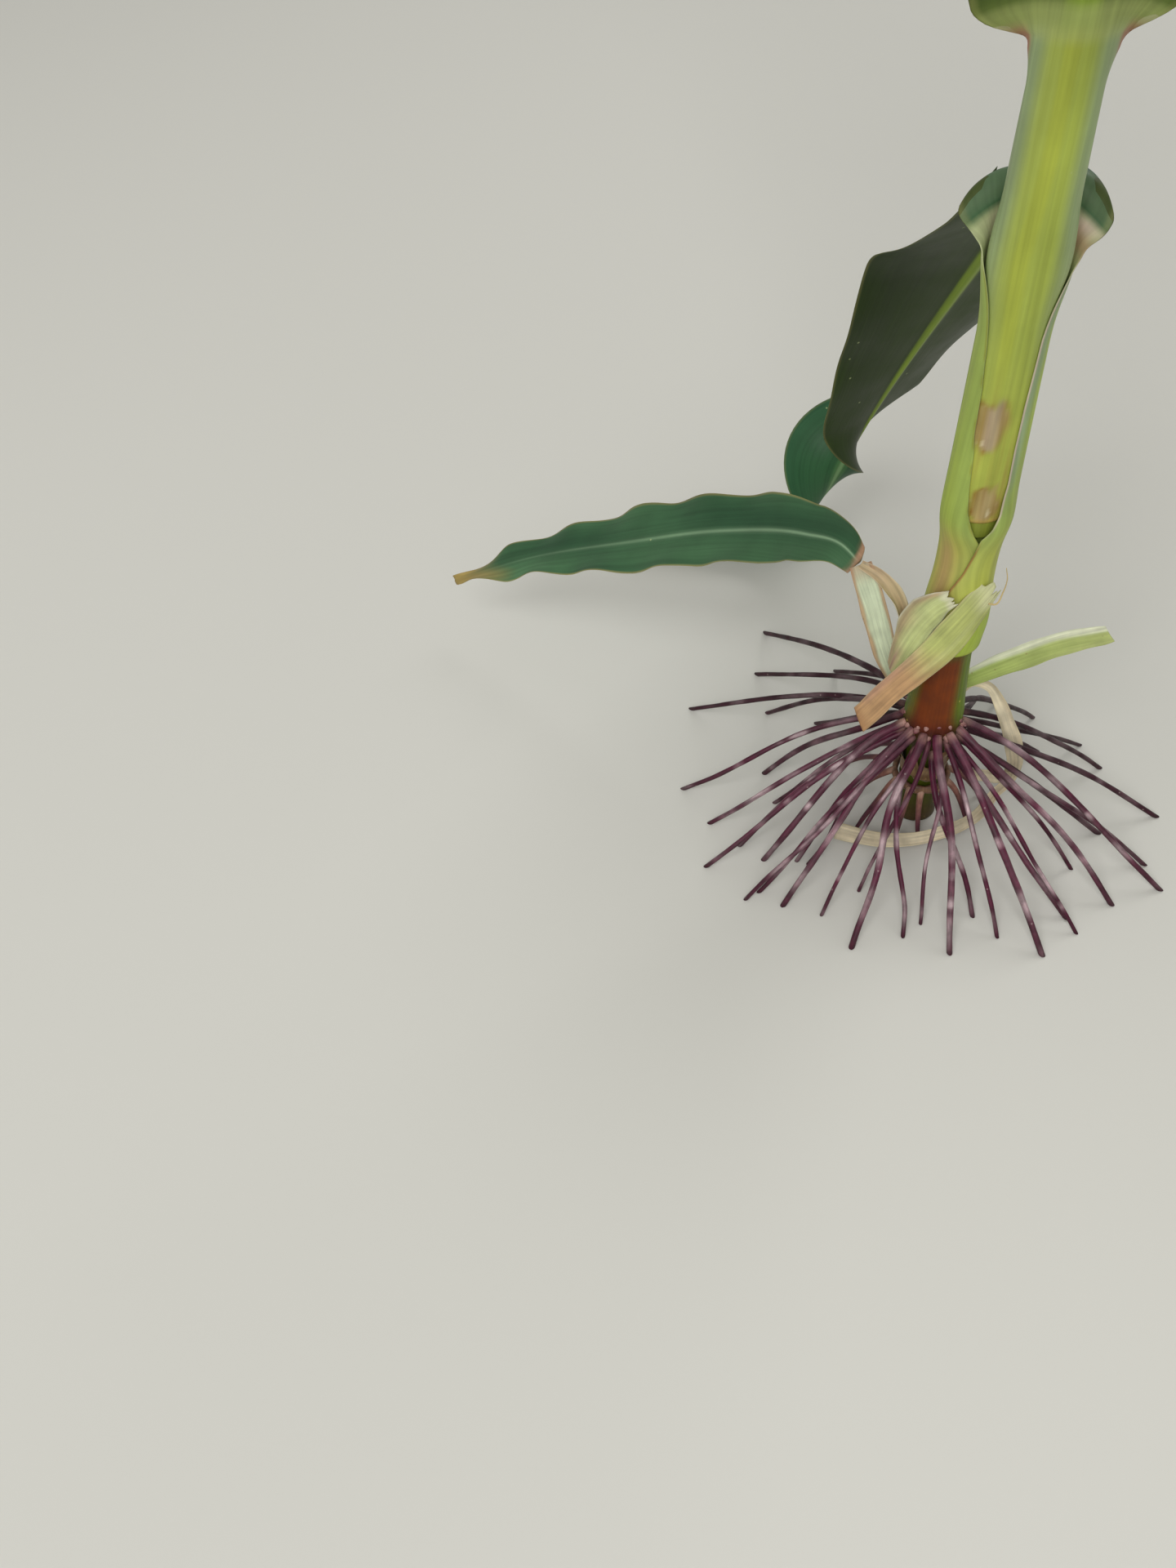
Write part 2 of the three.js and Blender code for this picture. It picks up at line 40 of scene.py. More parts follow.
goldenAngle = 137.5  # degrees between one husk leaf or tassel branch and the next
upward = np.array([0.0, 0, 1])

# camera: low over the ground in front, tilted down to the brace roots
lens = {"place": (-0.1634, -0.3563, 0.4653), "down": 49.2, "roll": 8.13, "focal": 26.25, "sensor": 36}
camera = bpy.data.objects.new("camera", bpy.data.cameras.new("camera"))
bpy.context.scene.collection.objects.link(camera)
camera.data.lens = lens["focal"]
camera.data.sensor_width = lens["sensor"]
camera.data.clip_start = 0.01
camera.matrix_world = (Matrix.Translation(lens["place"])
                       @ Matrix.Rotation(math.radians(90 - lens["down"]), 4, "X")
                       @ Matrix.Rotation(math.radians(-lens["roll"]), 4, "Z"))
bpy.context.scene.camera = camera
print("camera set")


# small helpers on numbers and arrays

def smooth(x, low, high):  # 0 below low, 1 above high, an S between them
    t = np.clip((np.asarray(x, float) - low) / (high - low), 0, 1)
    return t * t * (3 - 2 * t)


def fade(x, low, high):  # 1 below low, 0 above high, an S between them
    return 1 - smooth(x, low, high)


def mix(a, b, t):
    return a + (b - a) * t


def stacked(*parts):  # arrays that broadcast to one shape, as one array of vectors
    return np.stack(np.broadcast_arrays(*parts), -1)


def heading(degrees):  # level unit vector at that compass angle, 0 along +X, anticlockwise
    turn = np.radians(np.asarray(degrees, float))
    return stacked(np.cos(turn), np.sin(turn), 0.0)


def wrapped(degrees):  # the same angle, between -180 and 180
    return (degrees + 180) % 360 - 180


def unit(v):
    return v / np.maximum(np.linalg.norm(v, axis=-1, keepdims=True), 1e-9)


def travelled(path):  # distance along a path at each of its points
    return np.r_[0, np.cumsum(np.linalg.norm(np.diff(path, axis=0), axis=1))]


def framesAlong(path, towards, axis=0):  # unit vectors along a path and two square to it, at each point
    tangent = unit(np.gradient(path, axis=axis))
    side = unit(np.cross(tangent, towards))
    return tangent, side, np.cross(side, tangent)


def graded(x, rows):  # the values at x between the rows of a table, whose first column is x
    at, *columns = np.array(rows, float).T
    values = [np.interp(x, at, column) for column in columns]
    return values[0] if len(values) == 1 else np.stack(values, -1)


def evened(values, reach):  # each value as the mean of those up to reach places away
    count = 2 * reach + 1
    return np.convolve(np.pad(values, reach, mode="edge"), np.ones(count) / count, "valid")


def linear(hexColour):  # an sRGB hex value as linear red, green and blue
    parts = np.array([int(hexColour[i:i + 2], 16) for i in (1, 3, 5)]) / 255
    return np.where(parts <= 0.04045, parts / 12.92, ((parts + 0.055) / 1.055) ** 2.4)


def tint(below, above, share):  # a colour, or an array of them, mixed towards another by an array of shares
    above = linear(above) if isinstance(above, str) else above
    below = linear(below) if isinstance(below, str) else below
    return mix(below, above, np.clip(share, 0, 1)[..., None])


def coats(colour, *layers):  # a colour with others laid over it in turn, each by its own share
    for over, share in layers:
        colour = tint(colour, over, share)
    return colour


def ripple(u, v, seed, waves=7):  # an uneven field from -1 to 1: a sum of seeded sine waves over u and v
    rng = np.random.default_rng(seed)
    total = 0
    for turn, size, phase in zip(rng.uniform(0, 2 * np.pi, waves), rng.uniform(0.6, 1.9, waves),
                                 rng.uniform(0, 2 * np.pi, waves)):
        total = total + np.sin(size * (u * np.cos(turn) + v * np.sin(turn)) + phase)
    return np.clip(total / waves * 1.6, -1, 1)


def patchy(u, v, seed):  # the same from 0 to 1
    return 0.5 + 0.5 * ripple(u, v, seed)


def curve(points, count):  # a smooth line through points: cubic pieces whose slope is their neighbours'
    points = np.asarray(points, float)
    at = travelled(points)
    slope = np.gradient(points, at, axis=0)
    place = np.linspace(0, at[-1], count)
    i = np.clip(np.searchsorted(at, place, side="right") - 1, 0, len(at) - 2)
    step = (at[i + 1] - at[i])[:, None]
    t = (place - at[i])[:, None] / step
    line = ((2 * t ** 3 - 3 * t ** 2 + 1) * points[i] + (t ** 3 - 2 * t ** 2 + t) * step * slope[i]
            + (3 * t ** 2 - 2 * t ** 3) * points[i + 1] + (t ** 3 - t ** 2) * step * slope[i + 1])
    return line, place / at[-1], at[-1]


# meshes: a shell is one closed body, as its points, its faces, and its paint and grain at each point

def shell(points, faces, paint, grain):
    fields = {"points": points, "paint": paint, "grain": grain}
    flat = {key: np.broadcast_to(values, points.shape).reshape(-1, 3) for key, values in fields.items()}
    return {"faces": faces, **flat}


def gridFaces(rows, columns):  # the quads of a grid that closes round across its columns
    i, j = np.meshgrid(np.arange(rows - 1), np.arange(columns), indexing="ij")
    k = (j + 1) % columns
    quads = np.stack([i * columns + j, i * columns + k, (i + 1) * columns + k, (i + 1) * columns + j], -1)
    return quads.reshape(-1, 4)


def tubeShell(rings, paint, grain):  # rings of points carried along a path, closed by a flat face at each end
    rows, columns = rings.shape[:2]
    ends = [np.arange(columns)[None, ::-1], (rows - 1) * columns + np.arange(columns)[None]]
    return shell(rings, [gridFaces(rows, columns), *ends], paint, grain)


def sheetShell(upper, under, face, back, grain):  # two grids, face to face, joined round their four edges
    rows, columns = upper.shape[:2]
    points, paint, fibres = [
        np.concatenate([np.broadcast_to(a, upper.shape), np.broadcast_to(b, upper.shape)[:, ::-1]], axis=1)
        for a, b in ((upper, under), (face, back), (grain, grain))]
    j = np.arange(columns - 1)
    ends = [np.stack([start + j + 1, start + j, start + 2 * columns - 1 - j, start + 2 * columns - 2 - j], -1)
            for start in (0, (rows - 1) * 2 * columns)]
    return shell(points, [gridFaces(rows, 2 * columns), ends[0], ends[1][:, ::-1]], paint, fibres)


def outwards(body):  # the faces turned outwards: the volume that they enclose is made positive
    points = body["points"]
    volume = 0
    for faces in body["faces"]:
        for k in range(2, faces.shape[1]):
            a, b, c = points[faces[:, 0]], points[faces[:, k - 1]], points[faces[:, k]]
            volume += np.einsum("ij,ij->", a, np.cross(b, c))
    return body["faces"] if volume > 0 else [faces[:, ::-1] for faces in body["faces"]]


def putMesh(name, shells, material, slot, nodes=()):  # a piece from shells, riding on the plant's one body
    groups, count = [], 0
    for body in shells:
        groups += [faces + count for faces in outwards(body)]
        count += len(body["points"])
    widths = np.concatenate([np.full(len(faces), faces.shape[1]) for faces in groups])
    corners = np.concatenate([faces.ravel() for faces in groups])
    points = np.concatenate([body["points"] for body in shells]) * mm
    mesh = bpy.data.meshes.new(name)
    mesh.vertices.add(count)
    mesh.vertices.foreach_set("co", points.astype(np.float32).ravel())
    mesh.loops.add(len(corners))
    mesh.loops.foreach_set("vertex_index", corners.astype(np.int32))
    mesh.polygons.add(len(widths))
    mesh.polygons.foreach_set("loop_start", np.r_[0, np.cumsum(widths)[:-1]].astype(np.int32))
    mesh.polygons.foreach_set("use_smooth", np.ones(len(widths), bool))
    mesh.update(calc_edges=True)
    for key in ("paint", "grain"):
        values = np.concatenate([body[key] for body in shells])
        mesh.attributes.new(key, "FLOAT_VECTOR", "POINT")
        mesh.attributes[key].data.foreach_set("vector", values.astype(np.float32).ravel())
    mesh.validate()
    mesh.materials.append(material)
    piece = bpy.data.objects.new(name, mesh)
    bpy.context.scene.collection.objects.link(piece)
    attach(piece, "root")
    if nodes:
        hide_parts(*nodes)


# materials

def addNode(tree, kind, inputs=None, **settings):  # a node with its settings and its links or values
    made = tree.nodes.new(kind)
    for key, value in settings.items():
        setattr(made, key, value)
    for key, value in (inputs or {}).items():
        if isinstance(value, bpy.types.NodeSocket):
            tree.links.new(value, made.inputs[key])
        else:
            made.inputs[key].default_value = value
    return made


def plantSkin(name, finish):
    # paint gives each point its colour. grain gives millimetres across and along the fibres and a number of
    # its own for each leaf, strand or root, so that fibres run with the surface. Mottling and flecks read
    # Object coordinates.
    material = bpy.data.materials.new(name)
    material.use_nodes = True
    tree = material.node_tree
    shader = tree.nodes["Principled BSDF"]
    paint = addNode(tree, "ShaderNodeAttribute", attribute_name="paint")
    grain = addNode(tree, "ShaderNodeAttribute", attribute_name="grain")
    place = addNode(tree, "ShaderNodeTexCoord").outputs["Object"]
    spacing, gap, size = finish["fibre"], finish["fleckGap"], finish["fleckSize"]
    fibreMap = addNode(tree, "ShaderNodeVectorMath", operation="MULTIPLY", inputs={
        0: grain.outputs["Vector"], 1: (1 / spacing, 1 / (spacing * finish["fibreLength"]), 1)})
    fibre = addNode(tree, "ShaderNodeTexNoise", {
        "Vector": fibreMap.outputs["Vector"], "Scale": 1.0, "Detail": 2.0})
    mottle = addNode(tree, "ShaderNodeTexNoise", {
        "Vector": place, "Scale": 1 / (finish["mottle"] * mm), "Detail": 4.0})
    fleck = addNode(tree, "ShaderNodeTexVoronoi", {
        "Vector": place, "Scale": 1 / (gap * mm), "Randomness": 1.0})
    noiseSpan = {"From Min": 0.3, "From Max": 0.7}  # where most of a noise texture's values lie
    streak = addNode(tree, "ShaderNodeMapRange", {
        "Value": fibre.outputs[0], **noiseSpan,
        "To Min": 1 - finish["fibreTone"], "To Max": 1 + finish["fibreTone"]})
    cloud = addNode(tree, "ShaderNodeMapRange", {
        "Value": mottle.outputs[0], **noiseSpan,
        "To Min": 1 - finish["mottleTone"], "To Max": 1 + finish["mottleTone"]})
    tone = addNode(tree, "ShaderNodeMath", {0: streak.outputs[0], 1: cloud.outputs[0]}, operation="MULTIPLY")
    toned = addNode(tree, "ShaderNodeVectorMath", operation="SCALE", inputs={
        0: paint.outputs["Vector"], "Scale": tone.outputs[0]})
    dot = addNode(tree, "ShaderNodeMapRange", {
        "Value": fleck.outputs["Distance"], "From Min": size / gap, "From Max": 0.6 * size / gap,
        "To Min": 0.0, "To Max": finish["fleckTone"]})
    flecked = addNode(tree, "ShaderNodeMix", data_type="RGBA", inputs={
        0: dot.outputs[0], 6: toned.outputs["Vector"], 7: (*linear(finish["fleckColour"]), 1)})
    rough = addNode(tree, "ShaderNodeMapRange", {
        "Value": mottle.outputs[0], **noiseSpan,
        "To Min": finish["roughness"][0], "To Max": finish["roughness"][1]})
    relief = addNode(tree, "ShaderNodeMath", {0: fibre.outputs[0], 1: mottle.outputs[0]}, operation="ADD")
    bump = addNode(tree, "ShaderNodeBump", {
        "Height": relief.outputs[0], "Strength": finish["bump"], "Distance": finish["depth"] * mm})
    for source, key in ((flecked.outputs[2], "Base Color"), (rough.outputs[0], "Roughness"),
                        (bump.outputs[0], "Normal")):
        tree.links.new(source, shader.inputs[key])
    for key, value in (("IOR", finish["ior"]), ("Sheen Weight", finish["sheen"]), ("Sheen Roughness", 0.5),
                       ("Coat Weight", finish["coat"]), ("Coat Roughness", 0.3)):
        shader.inputs[key].default_value = value
    return material


# living leaf: green tissue under a thin wax, smooth, with veins about 1.6 mm apart, drawn a little coarser
leafFinish = {"fibre": 1.9, "fibreLength": 45, "fibreTone": 0.13, "mottle": 26, "mottleTone": 0.13,
              "fleckGap": 17, "fleckSize": 0.7, "fleckTone": 0.55, "fleckColour": "#B9C48A",
              "roughness": (0.4, 0.55), "bump": 0.5, "depth": 0.25, "ior": 1.33, "sheen": 0.0, "coat": 0.0}
# living sheath: firm, ribbed lengthwise every millimetre or so, with a powdery bloom
sheathFinish = {**leafFinish, "fibre": 1.5, "fibreLength": 60, "fibreTone": 0.11, "mottle": 18,
                "mottleTone": 0.07, "fleckGap": 12, "fleckSize": 0.45, "fleckTone": 0.6,
                "fleckColour": "#5E6A2A", "roughness": (0.42, 0.55)}
# cane rind: hard and waxed, with faint length grooves and pale specks
rindFinish = {**sheathFinish, "fibre": 1.4, "fibreTone": 0.16, "mottleTone": 0.16, "mottle": 7,
              "fleckGap": 6, "fleckSize": 0.6, "fleckTone": 0.85, "fleckColour": "#C9B45A",
              "roughness": (0.35, 0.5), "ior": 1.3, "coat": 0.03}
# brace root skin: satin, purple from its pigment, paler where it stretched, dusty in patches
rootFinish = {"fibre": 0.8, "fibreLength": 9, "fibreTone": 0.2, "mottle": 4, "mottleTone": 0.32,
              "fleckGap": 6, "fleckSize": 0.5, "fleckTone": 0.35, "fleckColour": "#C8B4B0",
              "roughness": (0.35, 0.6), "bump": 0.6, "depth": 0.35, "ior": 1.33, "sheen": 0.0, "coat": 0.05}
# torn sheath: limp, fibrous, half dried, its ribs standing out
tornFinish = {**leafFinish, "fibre": 1.2, "fibreLength": 26, "fibreTone": 0.17, "mottle": 9,
              "mottleTone": 0.12, "fleckGap": 9, "fleckSize": 0.5, "fleckTone": 0.5,
              "fleckColour": "#8A6A4A", "roughness": (0.45, 0.65), "bump": 0.8, "coat": 0.0}
# dry sheath: papery and matt, bleached
dryFinish = {**tornFinish, "fibreTone": 0.22, "mottleTone": 0.2, "roughness": (0.65, 0.85), "sheen": 0.15}
# husk: thick ribbed leaves round the cob
huskFinish = {**sheathFinish, "fibre": 2.2, "fibreTone": 0.16, "bump": 0.9, "depth": 0.4}
# silk: fine threads with a faint gloss
silkFinish = {**dryFinish, "fibre": 0.6, "roughness": (0.4, 0.6), "fleckTone": 0.0}
# spikelet: matt scales, ribbed, with anthers that hang from them
spikeletFinish = {**dryFinish, "fibre": 0.8, "fibreLength": 6, "mottle": 5, "roughness": (0.5, 0.7),
                  "fleckTone": 0.2}
leafTissue = plantSkin("leaf_blade_tissue", leafFinish)
sheathTissue = plantSkin("leaf_sheath_tissue", sheathFinish)
caneRind = plantSkin("cane_rind", rindFinish)
rootSkin = plantSkin("brace_root_skin", rootFinish)
tornTissue = plantSkin("torn_sheath_tissue", tornFinish)
dryTissue = plantSkin("dry_sheath_tissue", dryFinish)
huskTissue = plantSkin("husk_tissue", huskFinish)
silkThread = plantSkin("silk_thread", silkFinish)
spikeletScale = plantSkin("spikelet_scale", spikeletFinish)
print("materials made")


# the plant's measures, as the solids have them

plant = {"firstNode": 115, "internodes": [62, 103, 135, 155, 170, 175, 175, 170, 165, 160, 150, 150],
         "peduncle": 200, "lean": 12, "leanLength": 960, "sheathWall": 1, "clearance": 0.3,
         "swelling": 0.5, "swellReach": 8}
nodeAt = np.cumsum([plant["firstNode"], *plant["internodes"]])
stalkTop = nodeAt[-1] + plant["peduncle"]
stalkProfile = np.array([
    [0, 10.2], [20, 9.4], [27, 10.4], [34, 9.4], [48, 9.9], [58, 12.6], [66, 13.4], [73, 13.2], [80, 12.4],
    [95, 11.4], [107, 10.7], [115, 11], [122, 10.4], [150, 10.2], [170, 10], [177, 9.7], [184, 9.1],
    [210, 9.1], [235, 8.7], [262, 8], [272, 8.5], [280, 9], [290, 8.4], [300, 8], [340, 7.7],
    [nodeAt[7], 7.6], [nodeAt[10], 5.4], [nodeAt[12], 4.1], [stalkTop, 3.2]])


def stalkRadius(z):  # the profile by height, with a slight swelling at each upper node
    z = np.asarray(z, float)
    nearest = np.min([np.abs(z - node) for node in nodeAt[3:]], axis=0)
    return graded(z, stalkProfile) + np.maximum(plant["swelling"] * (1 - nearest / plant["swellReach"]), 0)


def axisAt(z):  # the stalk's middle: it leans to +X, less and less with height
    z = np.asarray(z, float)
    return stacked(plant["lean"] * (1 - np.exp(-z / plant["leanLength"])), 0, z)


# stalk: rings round the leaning axis, with length grooves and an uneven foot as relief

stalk = {"rows": [[0, 130, 1.0], [130, 2036, 8.0], [2036, stalkTop + 1, 3.5]],  # from, to, how far apart
         "columns": 64, "groove": 0.12, "lumps": 0.35, "front": "#5E2600", "side": "#5A7008",
         "foot": "#4A5212", "ring": "#551A0A", "hidden": "#8FA650", "stem": "#A3B45E"}


def makeStalk():
    z = np.concatenate([np.arange(*span) for span in stalk["rows"]])
    z[-1] = stalkTop
    zz, tt = np.meshgrid(z, np.linspace(0, 360, stalk["columns"], endpoint=False), indexing="ij")
    radius = stalkRadius(zz)
    radius -= stalk["groove"] * (0.5 + 0.5 * np.sin(np.radians(tt) * 13 + zz / 40)) * smooth(zz, 60, 90)
    radius += stalk["lumps"] * ripple(tt / 25, zz / 7, 3) * fade(zz, 50, 75)
    rings = axisAt(zz) + heading(tt) * radius[..., None]
    away = np.abs(wrapped(tt - viewer))  # degrees round from the photo's side
    uneven = 12 * ripple(tt / 30, zz / 14, 5) + 7 * ripple(tt / 7, zz / 60, 6)
    rind = coats(
        stalk["side"],
        ("#64520C", fade(away + uneven, 44, 66)),
        (stalk["front"], fade(away + uneven, 26, 50)),
        ("#8E4414", 0.5 * patchy(tt / 5, zz / 40, 8) * fade(away, 30, 50)),
        (stalk["ring"], 0.7 * fade(zz, 68, 78) * fade(away, 40, 70)),
        ("#4E5A18", 0.6 * smooth(zz, 108, 114) * fade(away, 45, 75)))
    paint = coats(
        stalk["foot"],
        (rind, smooth(zz, 60, 68)),
        ("#3A1810", 0.7 * fade(np.abs(zz - 62), 5, 11)),
        ("#4A3320", fade(zz, 2, 26) * 0.8),
        (stalk["hidden"], smooth(zz, 118, 124)),
        # painted shade: a dark olive band round z 177 on the front, where the stalk lies in shadow in the
        # opening of the lowest sheath
        ("#5A5A1A", fade(np.abs(zz - 177), 2, 9) * fade(away, 30, 60) * 0.8),
        (stalk["stem"], smooth(zz, 300, 400)))
    grain = stacked(np.radians(tt) * 12, zz, 3)
    putMesh("stalk_cane", [tubeShell(rings, paint, grain)], caneRind, "stalk", ["stalk"])


makeStalk()
print("stalk made")


# leaves: the rule for what each one measures, and where some of them differ from it. Lengths are in mm, angles
# in degrees, and what is said by share runs from the collar, 0, to the tip, 1.

leafRule = {"longest": 860, "widest": 98, "widestLeaf": 7, "plane": 70, "drift": 9, "earLeaf": 8,
            "close": 2}  # leaves up to this one are seen from close by and have finer meshes
# how far a blade is folded up, in degrees from midrib to margin, by distance from the collar
trough = [[0, 150], [8, 90], [20, 66], [55, 46], [120, 34], [900, 14]]
shallow = [[0, 150], [6, 90], [16, 50], [40, 18], [120, 6], [900, 6]]
grownLeaf = {
    1: {"sheath": 183, "length": 470, "width": 104, "heading": 66, "rise": -10, "droop": 73, "bendAt": 0.52,
        "landing": 82, "sweep": 119, "sweepAt": 1.36, "twist": -180, "twistFrom": 0.59, "twistTo": 0.75,
        "wave": 2.2, "pulvinus": 1.9, "tilt": -31, "foot": 0.31, "collarBend": 6.3, "channel": shallow,
        "footWide": 20, "frill": 56, "collar": 0.1, "bladeFrom": -9, "young": (-9, -1),
        "pinch": (0.685, 0.07, 0.65)},  # where along, over what share and how deep its front half narrows
    2: {"sheath": 170, "length": 590, "width": 84, "heading": -113, "rise": 64, "droop": 118, "sweep": -10,
        "pulvinus": 0.6, "footLift": 7.2, "young": (2, 24)},
    3: {"sheath": 170}, 4: {"sheath": 170}, 8: {"sheath": 132, "rise": 30, "droop": 84}}


def measures(number):
    fromWidest = number - leafRule["widestLeaf"]
    node = nodeAt[number - 1]
    last = number == len(nodeAt)
    following = node + 150 if last else nodeAt[number]
    rule = {
        "number": number, "node": node, "sheath": max(following - node, 155) + (0 if last else 14),
        "length": leafRule["longest"] - 10.5 * fromWidest ** 2,
        "width": leafRule["widest"] - (0.95 if fromWidest > 0 else 0.5) * fromWidest ** 2,
        "heading": leafRule["plane"] + (0 if number % 2 else 180) + leafRule["drift"] * (number - 1)
        + 7 * math.sin(2.3 * number),
        "rise": 56 + 1.3 * number, "droop": 138 - 2.4 * number + 8 * math.sin(1.7 * number), "bendAt": 1.15,
        "landing": 0, "sweep": 16 * math.sin(1.1 * number), "sweepAt": 1,
        "twist": 22 * math.sin(2.9 * number), "twistFrom": 0.3, "twistTo": 0.7, "wave": 8, "pulvinus": 1,
        "tilt": 0, "foot": 0.7, "widen": 0.3, "collarBend": 22, "channel": trough, "footLift": 0,
        "footWide": 0, "frill": 118, "collar": 0.5, "bladeFrom": -2, "young": (4, 60)}
    return {**rule, **grownLeaf.get(number, {})}


def sheathWall(leaf, z):  # thicker at its foot, which swells round the node
    low = leaf["node"] + leaf["footWide"]
    return plant["sheathWall"] + leaf["pulvinus"] * fade(z, low, low + 12)


outerOf = {}  # heights and outer radii of the sheaths made so far, by leaf
grownSheath = {  # outer radius by height of the two lowest whole sheaths, swollen round the nodes inside
    1: [[115, 12.7], [121, 13.2], [130, 14], [140, 13.2], [149, 12.2], [158, 11.8], [166, 11.8],
        [172, 12.2], [179, 13.6], [186, 13.7], [205, 13.2], [230, 12.7], [258, 12.2], [266, 12.8],
        [275, 14.2], [282, 14.9], [298, 14.4]],
    2: [[177, 12.2], [205, 12], [230, 11.5], [258, 11], [266, 11.5], [274, 12.7], [281, 13.4], [290, 12.9],
        [300, 11.7], [320, 11.2], [335, 10.9], [347, 11.2]]}


def sheathRadii(leaf):  # inner radius by height: clear of the stalk or of the sheath inside, and evened out
    number, node, top = leaf["number"], leaf["node"], leaf["node"] + leaf["sheath"]
    z = np.arange(node, top + 1.0)
    wall = sheathWall(leaf, z)
    if number in grownSheath:
        radii = graded(z, grownSheath[number]) - wall
    else:
        inside = stalkRadius(z)
        if number + 1 in outerOf:
            within = outerOf[number + 1]
            inside = np.where(z > within[0][0] - 2, np.maximum(inside, np.interp(z, *within)), inside)
        radii = inside + plant["clearance"] + 0.2 + 0.5 * smooth(z, top - 12, top)
    outer = evened(radii + wall, 4)
    outerOf[number] = (z, outer)
    return z, outer - wall


def bladePath(leaf, start, distance):
    # the midrib leaves the collar upright, leans out in the collar's bend, then droops, sweeps and twists
    def directions(d):
        share = d / leaf["length"]
        settled = leaf["rise"] - leaf["droop"] * share ** leaf["bendAt"]
        settled = settled + leaf["landing"] * smooth(share, 0.7, 0.88)
        pitch = np.radians(mix(88, settled, smooth(d, 0, leaf["collarBend"])))[:, None]
        turn = leaf["heading"] + leaf["sweep"] * share ** leaf["sweepAt"]
        tangent = heading(turn) * np.cos(pitch) + upward * np.sin(pitch)
        lean = leaf["tilt"] * smooth(d, 5, 30) * fade(share, 0.1, 0.33)
        roll = np.radians(leaf["twist"] * smooth(share, leaf["twistFrom"], leaf["twistTo"]) + lean)[:, None]
        level = heading(turn + 90)
        return tangent, level * np.cos(roll) + np.cross(tangent, level) * np.sin(roll)
    step = 2.0
    along = np.arange(0, leaf["length"] + step, step)
    middle = start + np.concatenate([np.zeros((1, 3)), np.cumsum(directions(along)[0] * step, axis=0)])[:-1]
    tangent, side = directions(distance)
    return graded(distance, np.c_[along, middle]), side, np.cross(side, tangent)


# by height: how far each margin of the lowest whole sheath lies from its midrib, in degrees. The right one laps
# over the left one, and above that they part.
lapRight = {1: ([115, 146, 154, 160, 170, 178, 182, 188, 201, 216, 233, 247, 257, 265, 269, 274, 277, 298],
                [216, 208, 193, 182, 170, 164, 151, 141, 134, 135, 133, 128, 125, 119, 115, 107, 98, 88])}
lapLeft = {1: ([115, 152, 163, 170, 175, 179, 183, 189, 193, 200, 207, 214, 222, 239, 247, 252, 262, 270, 276,
                298],
               [168, 176, 190, 198, 196, 185, 177, 167, 164, 160, 158, 155, 149, 146, 141, 139, 132, 126, 117,
                92])}
leafShades = {"sheath": "#A0AE48", "sheathPale": "#B9C468", "sheathFoot": "#AFBA54", "bloom": "#98AC78",
              "inside": "#C9CF9C", "blade": "#234A2A", "bladeLight": "#3F6E3C", "bladeBlue": "#34604A",
              "midrib": "#9DBE8C", "under": "#1B2B06", "underLight": "#31450F", "underRib": "#86A02C",
              "margin": "#C2B878", "auricle": "#D9D2A6", "auricleEdge": "#B07A58", "dry": "#B79A5E"}


def gridFields(upper, under, **fields):  # a sheet's two grids, and what is known at each of their points
    return {"upper": upper, "under": under,
            **{key: np.broadcast_to(values, upper.shape[:2]) for key, values in fields.items()}}


def sheathGrid(leaf, t):
    # sheath: an arc round the stalk from margin to margin, rounded at its foot, thin and close at its margins
    number, node, top = leaf["number"], leaf["node"], leaf["node"] + leaf["sheath"]
    fine = 1.2 if number <= leafRule["close"] else 5.0
    z = np.unique(np.r_[node, node + 0.35, node + 0.9, np.arange(node + 1.6, top, fine), top])
    footAt = node + leaf["footLift"]
    if leaf["footLift"]:  # closer rows where its foot is rounded
        z = np.unique(np.r_[z, np.arange(node + 6.9, node + 9.6, 0.3)])
    z = z[:, None]
    radius = np.interp(z, *sheathRadii(leaf))
    if number in lapRight:
        right, left = np.interp(z, *lapRight[number]), np.interp(z, *lapLeft[number])
    else:
        share = smooth(z, top - 0.45 * leaf["sheath"], top)
        right, left = mix(204, 128, share), mix(166, 132, share)
    turn = np.where(t < 0, right, left) * t
    over = 0.75 * smooth(-t, 0.3, 0.95) * fade(z, top - 50, top)  # where it laps over
    hug = 1  # how closely its margins lie to what is inside
    if number == 1:
        over = 1.1 * smooth(-t, 0.3, 0.9) * fade(z, 178, 198)
        hug = smooth(z, 178, 196)
    edge = smooth(np.abs(t), 1 - 0.16, 1)
    lip = np.sqrt(np.clip(1 - (1 - np.clip((z - footAt) / 1.8, 0, 1)) ** 2, 0, 1))  # the rounded foot
    outer = radius + (mix(sheathWall(leaf, z), 0.5, edge * hug) * mix(0.25, 1, lip) + over)
    thick = mix(mix(0.9, 1.6, fade(z, node, node + 14)), 0.4, edge) * mix(0.3, 1, lip)
    middle, outward = axisAt(z), heading(leaf["heading"] + turn)
    return gridFields(middle + outward * (outer - thick)[..., None], middle + outward * outer[..., None],
                      arc=np.radians(turn) * radius, along=z - top, share=0, turn=turn, height=z,
                      reach=np.radians((right + left) / 2) * radius)


# height, length in mm, start, and which margin leads
bladeWaves = ((0.55, 128, 1, 1), (0.42, 83, 2.1, -1), (0.22, 49, 3.3, 1))


